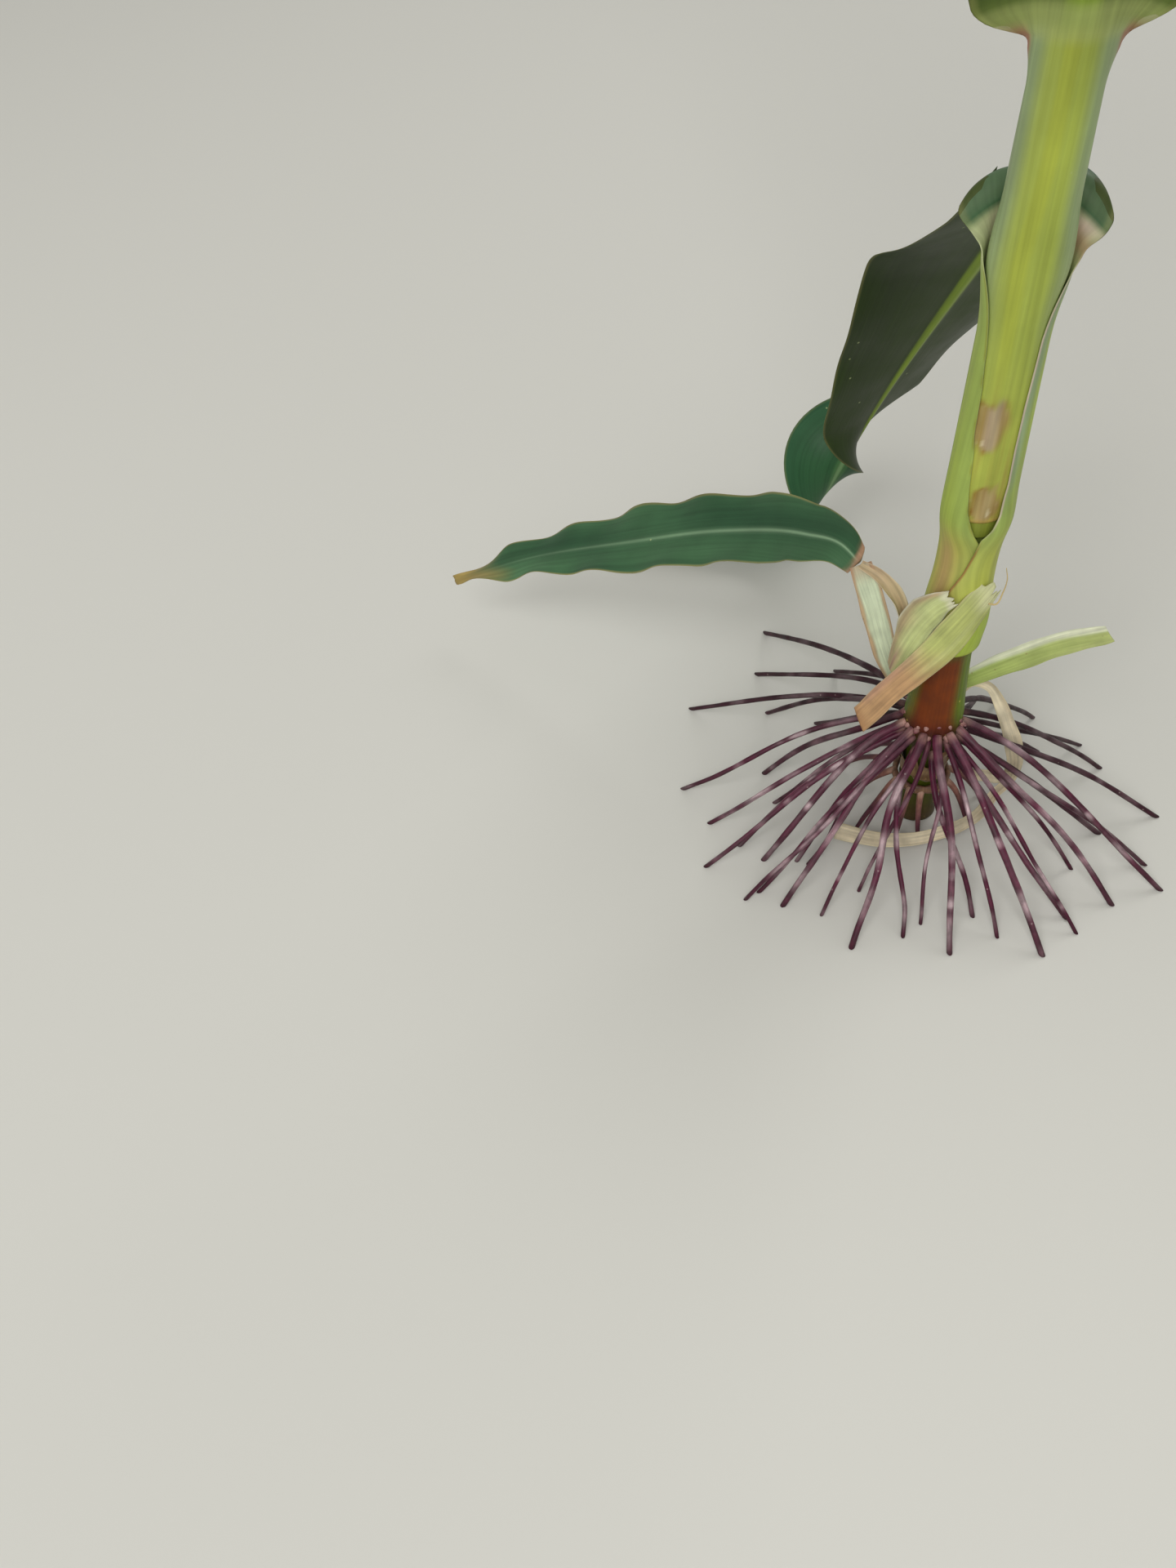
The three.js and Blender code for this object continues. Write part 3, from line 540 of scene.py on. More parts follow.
def bladeGrid(leaf, t, sheath):
    # blade: an arc across that opens from the collar on, thick at the midrib, thin and waved at its margins
    number, length = leaf["number"], leaf["length"]
    top = leaf["node"] + leaf["sheath"]
    radius = sheathRadii(leaf)[1][-1]
    fine = 1.8 if number <= leafRule["close"] else 6.0
    distance = np.r_[np.arange(1.2, 60, min(fine, 2.4)), np.arange(60, length - 8, fine),
                     length - 6, length - 4]
    midrib, side, under = bladePath(leaf, axisAt(top) + heading(leaf["heading"]) * radius, distance)
    d = distance[:, None]
    s = d / length
    outline = (1 - s ** 2.6) ** 0.9 * mix(leaf["foot"], 1, smooth(s, 0, leaf["widen"]))
    half = np.maximum(leaf["width"] / 2 * outline, 0.5)
    channel = graded(d, leaf["channel"])
    halves = []
    for sign, from0 in zip((-1, 1), np.abs(sheath["turn"][-1, [0, -1]])):
        reach = mix(radius * np.radians(from0), half, smooth(d, 0, 60))
        if "pinch" in leaf and sign > 0:  # this half narrows where the blade turns over
            at, over, depth = leaf["pinch"]
            reach = reach * (1 - depth * np.exp(-((s - at) / over) ** 2))
        if number == 1 and sign < 0:  # this half is narrow at first
            reach = reach * mix(1, 0.5, smooth(d, 14, 40) * fade(d, 130, 200))
        halves.append((reach, np.minimum(channel, from0)))
    reach, turn = [np.where(t < 0, *pair) for pair in zip(*halves)]
    arc = reach * t
    bend = reach / np.radians(turn)
    centre = midrib[:, None] - under[:, None] * bend[..., None]
    begin, ahead = number * 1.7, 2.4 * np.sign(t)  # the two margins wave out of step, in long uneven waves
    wave = leaf["wave"] * sum(high * np.sin(2 * np.pi * d / long + start * begin + lead * ahead)
                              for high, long, start, lead in bladeWaves)
    wave = wave * np.abs(t) ** 2.4 * smooth(d, 50, 150) * fade(s, 0.75, 1)
    ribWide = mix(4.6, 1.3, s ** 0.8)
    rib = mix(3.6, 0.35, s ** 0.6) * length / 860 * np.exp(-(arc / ribWide) ** 2)
    hollow = 0.7 * np.exp(-(arc / (0.55 * ribWide)) ** 2) * (1 - s) * smooth(d, 10, 50)
    opened = smooth(d, 0, 10)
    thick = mix(0.9, 0.42 + rib, opened) * mix(1, 0.6, smooth(np.abs(t), 0.85, 1))
    lift = mix(0, hollow + wave, opened) + 0.3 * (1 - opened)

    def line(lift):
        angle = np.radians(turn * t)[..., None]
        depth = (bend + lift)[..., None]
        return centre + depth * (under[:, None] * np.cos(angle) + side[:, None] * np.sin(angle))
    return gridFields(line(lift), line(lift + thick), arc=arc, along=d, share=s, turn=turn * t,
                      height=top + d, reach=reach)


def leafPaint(leaf, g, t):
    # colours of both sides: pale ribbed sheath, cream wedges at the collar, green blade with its pale midrib
    shades, number = leafShades, leaf["number"]
    d, arc, s = g["along"], g["arc"], g["share"]
    uneven = ripple(arc / 16, d / 60, 40 + number)
    fromMargin = (1 - np.abs(t)) * g["reach"]
    fromFoot = d + leaf["sheath"]
    green = coats(
        shades["sheath"],
        (shades["sheathPale"], 0.35 + 0.35 * ripple(arc / 5, d / 200, 60 + number)),
        (shades["sheathFoot"], fade(fromFoot, 6, 22)),
        (shades["bloom"], 0.75 * fade(fromMargin, 2, 9) * smooth(fromFoot, 20, 60)),
        ("#86A04E", 0.65 * smooth(number, 3, 6) * smooth(fromFoot, 10, 60)))
    inside = tint(shades["inside"], green, 0.25)
    if number in firstSheath:
        green = firstSheath[number](green, g, fromMargin)
    # blade, upper and under side
    ribWide = mix(3.4, 0.9, s ** 0.7)
    fromRib = np.abs(arc)
    young = fade(d, *leaf["young"])
    margin = (shades["margin"], 0.15 * fade(fromMargin, 0.5, 1.6))
    dryTip = (shades["dry"], smooth(s + 0.03 * uneven, 0.93, 1) * (1 if number < 6 else 0.35))
    up = coats(
        shades["blade"],
        (shades["bladeLight"], 0.42 + 0.42 * uneven),
        (shades["bladeBlue"], 0.3 + 0.3 * ripple(arc / 22, d / 80, 80 + number)),
        (shades["midrib"], fade(fromRib, 0.55 * ribWide, ribWide) * (1 - 0.45 * s)),
        ("#5F8A52", 0.5 * fade(fromRib, ribWide, 3.2 * ribWide)),
        ("#8AA052", 0.55 * young), margin, dryTip)
    down = coats(
        shades["under"],
        (shades["underLight"], 0.45 + 0.35 * uneven),
        (shades["underRib"], fade(fromRib, 0.8 * ribWide, 1.9 * ribWide) * (1 - 0.3 * s)),
        ("#7F9640", 0.6 * young), margin, dryTip)
    # collar and its wedges
    wedge = fade(fromMargin - 0.12 * np.maximum(d, 0), 5, 11) * smooth(d, -9, -2) * fade(d, 4, 12)
    wedgeColour = tint(shades["auricle"], shades["auricleEdge"], fade(d, -8, 3))
    if number == 2:
        wedge = fade(fromMargin, 4, 9) * smooth(d, -12, -5) * fade(d, -1, 5)
        wedgeColour = tint(wedgeColour, "#9A5236", 0.8)
    if number == 1:
        wedge = fade(fromMargin, 9, 15) * smooth(d, -22, -12) * fade(d, -6, -1)
        wedgeColour = coats(
            "#BCC294",
            ("#CDB4A6", patchy(arc / 3, d / 3, 31) * smooth(-t, -1, -0.2)),
            ("#A98A66", 0.8 * np.where(t < 0, fade(d, -12, -5), 0)))
    collar = fade(np.abs(d - 4), 3, 7) * leaf["collar"]
    onBlade = smooth(d, leaf["bladeFrom"], leaf["bladeFrom"] + 7)
    return (coats(inside, (up, onBlade), (shades["auricle"], collar), (wedgeColour, wedge)),
            coats(green, (down, onBlade), ("#B9C27A", collar), (wedgeColour, wedge)))


def spot(turn, height, at, size, seed):  # 1 inside an uneven patch round a heading and height, 0 outside
    u, v = (turn - at[0]) / size[0], (height - at[1]) / size[1]
    return fade(np.hypot(u, v) + 0.22 * ripple(u * 5, v * 4, seed), 0.75, 1.05)


# leaf 1's left margin is browned; the brown line along its right margin is painted shadow
def firstSheathPaint(green, g, fromMargin):  # leaf 1: blushes and browned margins
    z, arc = g["height"], g["arc"]
    turn = wrapped(grownLeaf[1]["heading"] + g["turn"] - viewer)  # degrees round from the photo's side
    edge = fade(fromMargin, 0.25, 1.0)
    left = g["turn"] > 0
    broken = smooth(ripple(z / 2.6, arc * 0, 21), -0.35, 0.2)
    blush = np.exp(-((turn + 42) / 30) ** 2) * smooth(z, 118, 132) * fade(z, 165, 186)
    return coats(
        green,
        ("#7A3E22", np.where(left, 0.9 * edge * broken, 0) * smooth(z, 172, 182)),
        ("#9CB048", 0.7 * smooth(z, 150, 190)),
        ("#B6B84C", 0.55 * smooth(z, 136, 150) * fade(z, 168, 184)),
        ("#84968A", np.where(left, 0.0, 0.6 * fade(fromMargin, 1.5, 5)) * smooth(z, 180, 215)),
        ("#D2BCB0", np.where(left, 0, 0.8 * edge * smooth(z, 176, 190))),
        # painted shadow: a brown line along the right margin's edge below z 180, where it laps over the left
        # one
        ("#8A4A24", np.where(left, 0, 0.85 * edge * fade(z, 168, 180))),
        ("#AE8062", 0.75 * blush * (0.75 + 0.25 * ripple(arc / 1.5, z / 20, 23))),
        ("#9AB43A", 0.6 * fade(z, 128, 142)),
        ("#6B4A1E", 0.85 * fade(z, 115.3, 117)))


# middle and size, both in degrees and mm, greyness, seed
corkPatches = (((-7, 225.5), (33, 10.5), 0.5, 11), ((13, 193), (28, 8.5), 0.1, 12))
# by height, in degrees from the photo's side
stripeAt = [[250, -6], [268, -9], [285, -11], [301, -4], [316, 0], [343, 0]]


def secondSheathPaint(green, g, fromMargin):  # leaf 2: pale stripe, grey side, corky patches, dark foot
    z, arc = g["height"], g["arc"]
    turn = wrapped(grownLeaf[2]["heading"] + g["turn"] - viewer)  # degrees round from the photo's side
    low = fade(z, 205, 262)
    green = coats(
        green,
        ("#B0B940", 0.6 * fade(np.abs(turn - graded(z, stripeAt)), 7, 17) * smooth(z, 225, 262)),
        ("#8CA287", 0.65 * smooth(np.abs(turn), 24, 62) * smooth(z, 230, 300)),
        ("#AEB44C", 0.6 * low),
        ("#A0843E", 0.5 * low * smooth(ripple(arc / 0.7, z / 16, 7, 11), -0.2, 0.8)))
    for at, size, grey, seed in corkPatches:
        streaks = ripple(arc / 0.5, z / 7, seed + 1, 11)
        patch = spot(turn + 5 * streaks, z + 2.2 * streaks, at, size, seed)
        rim = np.clip(spot(turn, z, at, (size[0] * 1.15, size[1] * 1.1), seed) - patch, 0, 1)
        cork = coats(
            "#86602E",
            ("#C2A874", 0.5 + 0.6 * streaks),
            ("#B3A09C", grey * fade(np.abs(turn - at[0] - 4), 5, 18)))
        green = coats(
            green,
            (cork, 0.85 * patch),
            ("#8A4E20", np.where(turn < at[0], 0.85, 0.35) * rim),
            ("#D9CCA8", 0.7 * patch * smooth(ripple(arc * 1.9, z / 1.4, seed + 2, 11), 0.55, 0.75)))
    return coats(
        green,
        ("#B89A52", 0.75 * fade(z, 185.4, 187.2)),
        ("#8A5A2A", 0.8 * fade(z, 184.3, 184.9)),
        # painted shade: below its foot's lip the sheath is a darker olive, its own colour deepened by the shade
        # under the lip
        ("#8A9438", fade(z, 183.9, 184.3)))


firstSheath = {1: firstSheathPaint, 2: secondSheathPaint}


# ears: how a margin flares where sheath turns into blade. Distance along from the collar, degrees from the
# midrib, distance from the stalk's middle, height above the collar
ears = {
    1: {"right": [[-24, 91, 13.8, -22], [-12, 76, 17, -15], [-3, 68, 23.5, -12.5], [3, 66, 25.5, -8.5],
                  [10, 62, 25, -5], [21, 46, 24, -5], [30, 27, 25, -5], [40, 17, 28, -3]],
        "left": [[-24, 119, 13.8, -23], [-12, 94, 14.8, -14], [-4, 87, 19.5, -9.5], [2, 80, 25, -6],
                 [10, 68, 26, -3.5], [22, 48, 24, -0.5], [38, 32, 28, 2]]},
    2: {"right": [[-14, 124, 12.1, -14], [-6, 110, 12.3, -7], [-1, 97, 12.8, -3], [3, 80, 19, -1],
                  [8, 76, 29, 3], [20, 72, 33, 12], [38, 61, 35, 28]],
        "left": [[-14, 124, 12.1, -14], [-6, 106, 12.3, -7], [-1, 90, 12.8, -2], [3, 66, 17, 2],
                 [9, 66, 25, 6], [20, 66, 30, 14], [38, 57, 33, 29]]}}
# the same for all other leaves and both margins, but its distance is from the sheath's inside
otherEar = [[-24, 132, 0.6, -24], [-12, 122, 1.8, -13], [-3, 108, 7, -5.5], [4, 98, 11, -1], [12, 86, 14, 5],
            [24, 70, 18, 16], [38, 59, 22, 30]]


def flareEars(leaf, g, t):
    # near the collar the margins are moved to the ears' lines, in degrees, distance and height about the
    # stalk's middle, and what lies between a margin and the midrib follows
    number, top = leaf["number"], leaf["node"] + leaf["sheath"]
    d = g["along"][:, 0]

    def aboutStalk(points):  # degrees from the midrib, distance from the stalk's middle, height
        away = points - axisAt(points[..., 2])
        turn = np.degrees(np.arctan2(away[..., 1], away[..., 0])) - leaf["heading"]
        return stacked(wrapped(turn), np.hypot(away[..., 0], away[..., 1]), points[..., 2])
    was = {key: aboutStalk(g[key]) for key in ("upper", "under")}
    for side, margin, sign in (("right", 0, -1), ("left", -1, 1)):
        line = np.array(ears[number][side] if number in ears else otherEar, float)
        if number not in ears:
            line[:, 2] = sheathRadii(leaf)[1][-1] + line[:, 2] * (1 + 0.15 * math.sin(3.7 * number + sign))
        wanted = np.stack([evened(values, 2) for values in graded(d, line).T], -1)
        move = wanted * [sign, 1, 1] + [0, 0, top] - was["upper"][:, margin]
        move[:, 0] = wrapped(move[:, 0])
        move *= (smooth(d, line[0, 0] - 2, line[0, 0] + 9) * fade(d, 36, 64))[:, None]
        part = np.where(sign * t > 0, np.abs(t) ** 2.6, 0)[..., None]
        for key in ("upper", "under"):
            turn, away, z = np.moveaxis(was[key] + move[:, None] * part, -1, 0)
            moved = axisAt(z) + heading(leaf["heading"] + turn) * away[..., None]
            g[key] = np.where((part > 0) & (d < 64)[:, None, None], moved, g[key])


def ligule(leaf, t):
    # a thin ragged frill that stands up inside the collar, close to what the sheath wraps
    top = leaf["node"] + leaf["sheath"]
    radius = sheathRadii(leaf)[1][-1] - 0.1
    rise = np.linspace(-3, 1, 7)[:, None]
    ragged = 3.4 + 1.2 * ripple(t * 22, 0, 90 + leaf["number"])
    z = top + np.where(rise > 0, rise * ragged * (1 - np.abs(t) ** 6), rise)
    outward = heading(leaf["heading"] + t * leaf["frill"])
    middle = axisAt(top) * [1, 1, 0] + z[..., None] * upward
    upper, under = middle + outward * (radius - 0.12), middle + outward * (radius + 0.06)
    paint = tint("#B9A878", "#8A6A4A", 0.5 + 0.5 * smooth(z, top + 1, top + 5))
    return sheetShell(upper, under, paint, paint, stacked(np.radians(t * 118) * radius, z, 5))


def makeLeaf(number):
    leaf = measures(number)
    across = 90 if number <= leafRule["close"] else 28
    even = np.linspace(-1, 1, across + 1)[None]
    t = 0.35 * np.sin(even * np.pi / 2) + 0.65 * even  # from margin to margin, closer together near them
    sheath = sheathGrid(leaf, t)
    blade = bladeGrid(leaf, t, sheath)
    g = {key: np.concatenate([sheath[key], blade[key]]) for key in sheath}
    flareEars(leaf, g, t)
    grain = stacked(g["arc"], g["along"], number * 7)
    body = sheetShell(g["upper"], g["under"], *leafPaint(leaf, g, t), grain)
    label = f"leaf_{number:02d}"
    putMesh(f"{label}_whole", [body, ligule(leaf, t)], leafTissue, "leaf", [label, f"{label}_tip"])


for number in range(len(nodeAt), 0, -1):
    makeLeaf(number)
print("leaves made")


# brace roots: out of the whorl, over in an arch and down into the ground

roots = {
    "upper": {"name": "brace_root", "height": 66, "first": -73, "arch": 0.4, "thick": 3.7, "list": [
        [-72, 100], [-46, 103], [-36, 119], [4, 99], [31, 92], [57, 104], [82, 112], [108, 150], [127, 98],
        [153, 78], [-166, 84], [-148, 92], [-124, 93], [-96, 88]]},
    "lower": {"name": "short_brace_root", "height": 54, "first": -60, "arch": 0.25, "thick": 3.4, "list": [
        [-58, 92], [-22, 88], [18, 76], [70, 80], [118, 74], [168, 70], [-156, 66], [-110, 80], [-84, 70]]},
    "rear": {"height": 60, "first": -38, "spread": 270, "arch": 0.3, "thick": 3.1, "list": [
        [-30, 110], [-14, 116], [14, 98], [44, 90], [72, 96], [98, 104], [118, 124], [138, 134], [164, 118],
        [176, 104], [190, 112], [204, 96]]},
    "between": {"height": 62, "first": -178, "spread": 150, "arch": 0.45, "thick": 2.9, "list": [
        [-174, 92], [-160, 70], [-156, 104], [-137, 84], [-131, 62], [-104, 72], [-80, 84], [-60, 100],
        [-40, 80]]},
    "skin": "#5C1836", "dark": "#1F050D", "band": "#CBB2B6", "bud": "#B58C80", "old": "#3C1222", "sides": 14,
    "cutAt": 0.5, "sunk": 0.6, "sway": 4, "heave": 1.2, "knob": 0.14, "lumps": 0.07}


def rootRings(path, radius, sides, seed):
    # a round limb along a path: rings square to it, slightly uneven, none below the ground
    tangent, side, other = framesAlong(path, upward)
    turn = np.linspace(0, 2 * np.pi, sides, endpoint=False)
    along = travelled(path)
    uneven = 1 + 0.05 * ripple(np.cos(turn)[None] * 2 + seed, along[:, None] / 4, seed + 1)
    ring = path[:, None] + (radius[:, None] * uneven)[..., None] * (
        side[:, None] * np.cos(turn)[:, None] + other[:, None] * np.sin(turn)[:, None])
    keep = np.flatnonzero(np.maximum.accumulate(ring[..., 2].min(axis=1) < roots["cutAt"]) == 0)
    if len(keep) < len(ring):  # the last ring is cut flat where the limb meets the ground
        last = ring[keep[-1]] + tangent[keep[-1]] * (ring[keep[-1], :, 2:] / -tangent[keep[-1], 2])
        ring = np.concatenate([ring[keep], last[None]])
        along = np.r_[along[keep], along[keep[-1]] + 2]
    return ring, along[:, None], turn[None]


def braceRoot(row, index):
    direction, reach = row["list"][index]
    start = row["first"] + row.get("spread", 360) * index / len(row["list"])
    direction += 360 * round((start - direction) / 360)
    seed = index * 5 + len(row["list"])
    rng = np.random.default_rng(seed)
    share = np.linspace(0, 1.06, 72)
    arch = np.sin(np.pi * np.clip(share, 0, 1))
    distance = mix(stalkRadius(row["height"]) - roots["sunk"], reach, share)
    turn = mix(start, direction, smooth(share, -0.1, 0.9))
    sway = roots["sway"] * arch * ripple(share * 4, 0, seed)
    path = axisAt(0) + heading(turn) * distance[:, None] + heading(turn + 90) * sway[:, None]
    path[:, 0] += axisAt(row["height"])[0] * (1 - share)
    path[:, 2] = row["height"] * (1 - mix(share, share ** 2, row["arch"]))
    path[:, 2] += roots["heave"] * arch * ripple(share * 5, 0, seed + 3)
    knob = 1 + roots["knob"] * np.exp(-((share * reach - 3.5) / 3.4) ** 2)  # swollen near the stalk
    knob = knob + roots["lumps"] * ripple(share * 34, 0, seed + 5)
    radius = mix(row["thick"] / 2, row["thick"] * 0.36, share) * knob * rng.uniform(0.84, 1.08)
    rings, along, around = rootRings(path, radius, roots["sides"], seed)
    # painted shade: roots that run out on the far side of the stalk from the camera are darkened, their pale
    # bands and bud bases dimmed
    behind = smooth(abs(wrapped(direction - viewer)), 62, 112)
    # painted light and shade: lit runs from 1 on each root's top to 0.1 on its underside
    lit = np.clip(0.55 + 0.45 * np.sin(around), 0, 1)
    uneven = ripple(along / 5, around * 1.5, seed + 7)
    centres = 8 + np.cumsum(rng.uniform(11, 34, 7))
    bands = sum(rng.uniform(0.3, 0.95) * np.exp(-np.abs((along - at) / rng.uniform(1.8, 8)) ** 4)
                for at in centres)
    streak = ripple(around * 2.5, along / 11, seed + 9)
    bands = np.clip(bands * (0.75 + 0.4 * streak) + rng.uniform(0, 0.2) * (0.5 + 0.5 * streak), 0, 1)
    # the pale bands are the root's own, made stronger on its lit top as painted light
    bands = bands * (0.45 + 0.55 * lit) * (0.8 + 0.3 * uneven)
    paint = coats(
        roots["skin"],
        # partly the root's own darker mottling, partly painted shade on its underside
        (roots["dark"], 0.25 + 0.3 * uneven + 0.35 * (1 - lit)),
        # painted shade on the roots behind the stalk
        (roots["dark"], 0.8 * behind),
        (roots["band"], bands * (1 - 0.75 * behind)),
        (roots["bud"], fade(along, 1.5, 6) * (0.45 + 0.5 * uneven) * (1 - 0.6 * behind)),
        (roots["old"], 0.6 * smooth(along, along[-1] - 30, along[-1])))
    return tubeShell(rings, paint, stacked(around * 2.2, along, seed))


def lowestWhorl():
    # the lowest whorl: a knobbly ring round the stalk and short thin roots out of it, longer behind
    inner, height, count = 11.2, 27, 11
    shells = []
    for i in range(count):
        direction = 360 * i / count + 9 * math.sin(3.1 * i)
        reach = 34 + 10 * math.sin(math.radians(direction)) + 3 * math.sin(2.2 * i)
        share = np.linspace(0, 1.05, 28)
        turn = direction + 6 * ripple(share * 4, 0, i)
        path = axisAt(0) + heading(turn) * mix(inner, reach, share)[:, None]
        path[:, 2] = height * (1 - share ** 1.6)
        rings, along, around = rootRings(path, mix(1.9, 1.0, share), 10, 70 + i)
        paint = coats(
            "#8E6054",
            ("#4E2232", smooth(along, 4, 22) * (0.8 + 0.2 * np.sin(around))),
            ("#B89480", 0.7 * fade(along, 2, 6)))
        shells.append(tubeShell(rings, paint, stacked(around * 1.6, along, 70 + i)))
    turn = np.linspace(0, 2 * np.pi, 96, endpoint=False)[:, None]
    around = np.linspace(0, 2 * np.pi, 12, endpoint=False)[None]
    lump = 1.5 + 0.4 * np.abs(np.sin(turn * count / 2)) + 0.2 * ripple(turn * 9, around, 7)
    radius = inner + 1.3 + lump * np.cos(around) * 0.8
    ring = axisAt(height) + heading(np.degrees(turn)) * radius[..., None]
    ring[..., 2] = height + lump * 1.5 * np.sin(around)
    paint = tint("#8A6A50", "#5A3A30", patchy(turn * 8, around * 2, 9))
    band = gridFaces(turn.size + 1, around.size) % (turn.size * around.size)
    shells.append(shell(ring, [band], paint, stacked(turn * 11, around, 9)))
    return shells


budRows = ((71, 13, 1.3), (66, 16, 1.7), (59, 15, 1.6))  # height, how many, size


def rootBuds():
    # unopened root tips in the whorl, between the roots: small domes on the stalk
    rng = np.random.default_rng(17)
    shells = []
    for height, count, size in budRows:
        for i in range(count):
            turn = 360 * (i + rng.uniform(-0.45, 0.45)) / count + height * 3
            z = height + rng.uniform(-2.6, 2.2)
            share = np.linspace(0, 1, 7)
            reach = size * rng.uniform(0.5, 2.1)
            path = axisAt(z) + heading(turn) * (stalkRadius(z) - 0.8 + reach * share)[:, None]
            path[:, 2] -= 0.5 * reach * share ** 2
            radius = size * rng.uniform(0.7, 1.0) * np.sqrt(np.clip(1.02 - share ** 2, 0.02, 1))
            rings, along, around = rootRings(path, radius, 9, i)
            paint = tint("#B98E84", "#5C2634", share[:, None] * 0.9 + rng.uniform(-0.3, 0.3))
            shells.append(tubeShell(rings, paint, stacked(around, along, i)))
    return shells


for key in ("upper", "lower"):
    row = roots[key]
    extra = roots[{"lower": "rear", "upper": "between"}[key]]  # thinner ones, behind or between
    shells = [braceRoot(which, i) for which in (row, extra) for i in range(len(which["list"]))]
    nodes = [f"{row['name']}_{i + 1:02d}" for i in range(len(row["list"]))]
    putMesh(f"{row['name']}s", shells, rootSkin, "brace_root", nodes)
putMesh("lowest_roots", lowestWhorl(), rootSkin, "brace_root", ["low_root_whorl"])
putMesh("root_buds", rootBuds(), rootSkin, "brace_root")
print("roots made")


# torn and dry strips: a band along a smooth line, its face turning, its section curled, its edges ragged

plainStrip = {"rows": 90, "across": 18, "ragged": 0.06, "wave": 0, "waveLength": 30, "keel": 0, "keelWide": 2,
              "crease": 0, "endCut": 0, "startTeeth": 0}  # what a strip has where it says nothing


def ribbon(strip, seed):
    strip = {**plainStrip, **strip}
    path, share, length = curve(strip["points"], strip["rows"])
    tangent = unit(np.gradient(path, axis=0))
    face, tilt = graded(share, strip["facing"]).T
    tilt = np.radians(tilt)[:, None]
    side = unit(np.cross(heading(face) * np.cos(tilt) + upward * np.sin(tilt), tangent))
    normal = np.cross(tangent, side)
    s = share[:, None]
    t = np.linspace(-1, 1, strip["across"] + 1)[None]
    half = graded(s, strip["width"]) / 2
    ragged = 1 + strip["ragged"] * ripple(s * length / 5, np.sign(t) * 3, seed)
    curl = np.radians(graded(s, strip["curl"]))  # half angle of its arc
    curl = np.where(np.abs(curl) < 0.02, 0.02, curl)
    bend = half / curl
    x = bend * np.sin(curl * t) * mix(1, ragged, np.abs(t) ** 4)
    wave = strip["wave"] * np.sin(2 * np.pi * s * length / strip["waveLength"] + seed + 1.6 * np.sign(t))
    keel = strip["keel"] * np.exp(-(t * half / strip["keelWide"]) ** 2) * (1 - s)
    fold = strip["crease"] * ripple(t * 3, s * 6, seed + 2)
    lift = bend * (np.cos(curl * t) - 1) + wave * np.abs(t) ** 2 + fold
    thick = strip["thick"] * mix(1, 0.5, np.abs(t) ** 3) * np.minimum(1, 8 * (1.02 - s))
    slant = strip["endCut"] * t * smooth(s, 0.85, 1) * half  # the end cut on the slant
    tooth = strip["startTeeth"] * ripple(t * 9, 0, seed + 4) * fade(s, 0, 0.1)
    middle = path[:, None] + tangent[:, None] * (slant + tooth)[..., None] + side[:, None] * x[..., None]
    upper = middle + normal[:, None] * (lift + thick / 2)[..., None]
    under = middle + normal[:, None] * (lift - keel - thick / 2)[..., None]
    return sheetShell(upper, under, *strip["paint"](s, t, seed), stacked(t * half, s * length, seed))


# what each strip shows on its face and its back, s along it from 0 to 1 and t across from -1 to 1

def bandPaint(s, t, seed):  # pale green where it wraps the stalk, peach-tan where it hangs down
    uneven = ripple(t * 3, s * 12, seed)
    face = coats(
        "#ACB362",
        ("#C0986E", smooth(s + 0.05 * t + 0.04 * uneven, 0.28, 0.6)),
        ("#C5C98C", 0.5 * patchy(t * 10, s * 2, seed + 3) * fade(s, 0.4, 0.6)),
        ("#D8D8AC", 0.8 * fade(s + 0.03 * uneven, 0.02, 0.12)),
        ("#B78A80", 0.45 * smooth(-t, 0.2, 0.9) * smooth(s, 0.35, 0.5) * fade(s, 0.8, 0.95)),
        ("#A8744A", 0.5 * smooth(s, 0.92, 1)))
    return tint(face, "#D9C79C", 0.4 * smooth(np.abs(t), 0.9, 1)), tint(face, "#D8C9A0", 0.5)


def flapPaint(s, t, seed):  # pale green on top, pink-purple to one side, whitish at its torn edge
    uneven = ripple(t * 3, s * 8, seed)
    face = coats(
        "#C0C88C",
        ("#A77E72", smooth(-t + 0.3 * uneven + 0.9 * s, 0.35, 1.0)),
        ("#BFC77E", 0.5 * patchy(t * 9, s * 2, seed + 3)),
        ("#DEDCBC", 0.9 * fade(s + 0.02 * uneven, 0.02, 0.09)),
        ("#E2DFC8", 0.8 * smooth(np.abs(t), 0.86, 0.97)))
    return face, tint(face, "#B9A58A", 0.5)


def stripPaint(s, t, seed):  # whitish green inside with tan edges
    face = coats(
        "#C9D3B4",
        ("#B59A78", smooth(np.abs(t) + 0.08 * ripple(t, s * 20, seed), 0.62, 0.86)),
        ("#A97F66", 0.6 * smooth(s, 0.85, 1)))
    return face, tint("#B9A684", face, 0.3)


def crumplePaint(s, t, seed):  # cream with tan blotches, paler at its edges
    face = tint("#CDBE96", "#A9826A", 0.35 + 0.45 * ripple(t * 2.5, s * 9, seed))
    return tint(face, "#D8C8A8", 0.7 * smooth(np.abs(t), 0.7, 0.95)), face


def oldBladePaint(s, t, seed):  # blue-green with a pale midrib, its margin yellowing, its neck browned
    uneven = ripple(t * 2, s * 9, seed)
    green = coats(
        "#264A30",
        ("#4E7650", 0.45 + 0.5 * uneven),
        ("#9FBE98", 0.7 * fade(np.abs(t), 0.02, 0.09) * (1 - s)),
        ("#C7B070", 0.45 * smooth(np.abs(t), 0.95, 0.99)))
    face = coats(
        "#A88468",
        (green, smooth(s + 0.006 * uneven, 0.004, 0.012)),
        ("#A08A50", smooth(s + 0.05 * uneven, 0.86, 0.98)))
    return face, tint(face, "#5F7A50", 0.55)


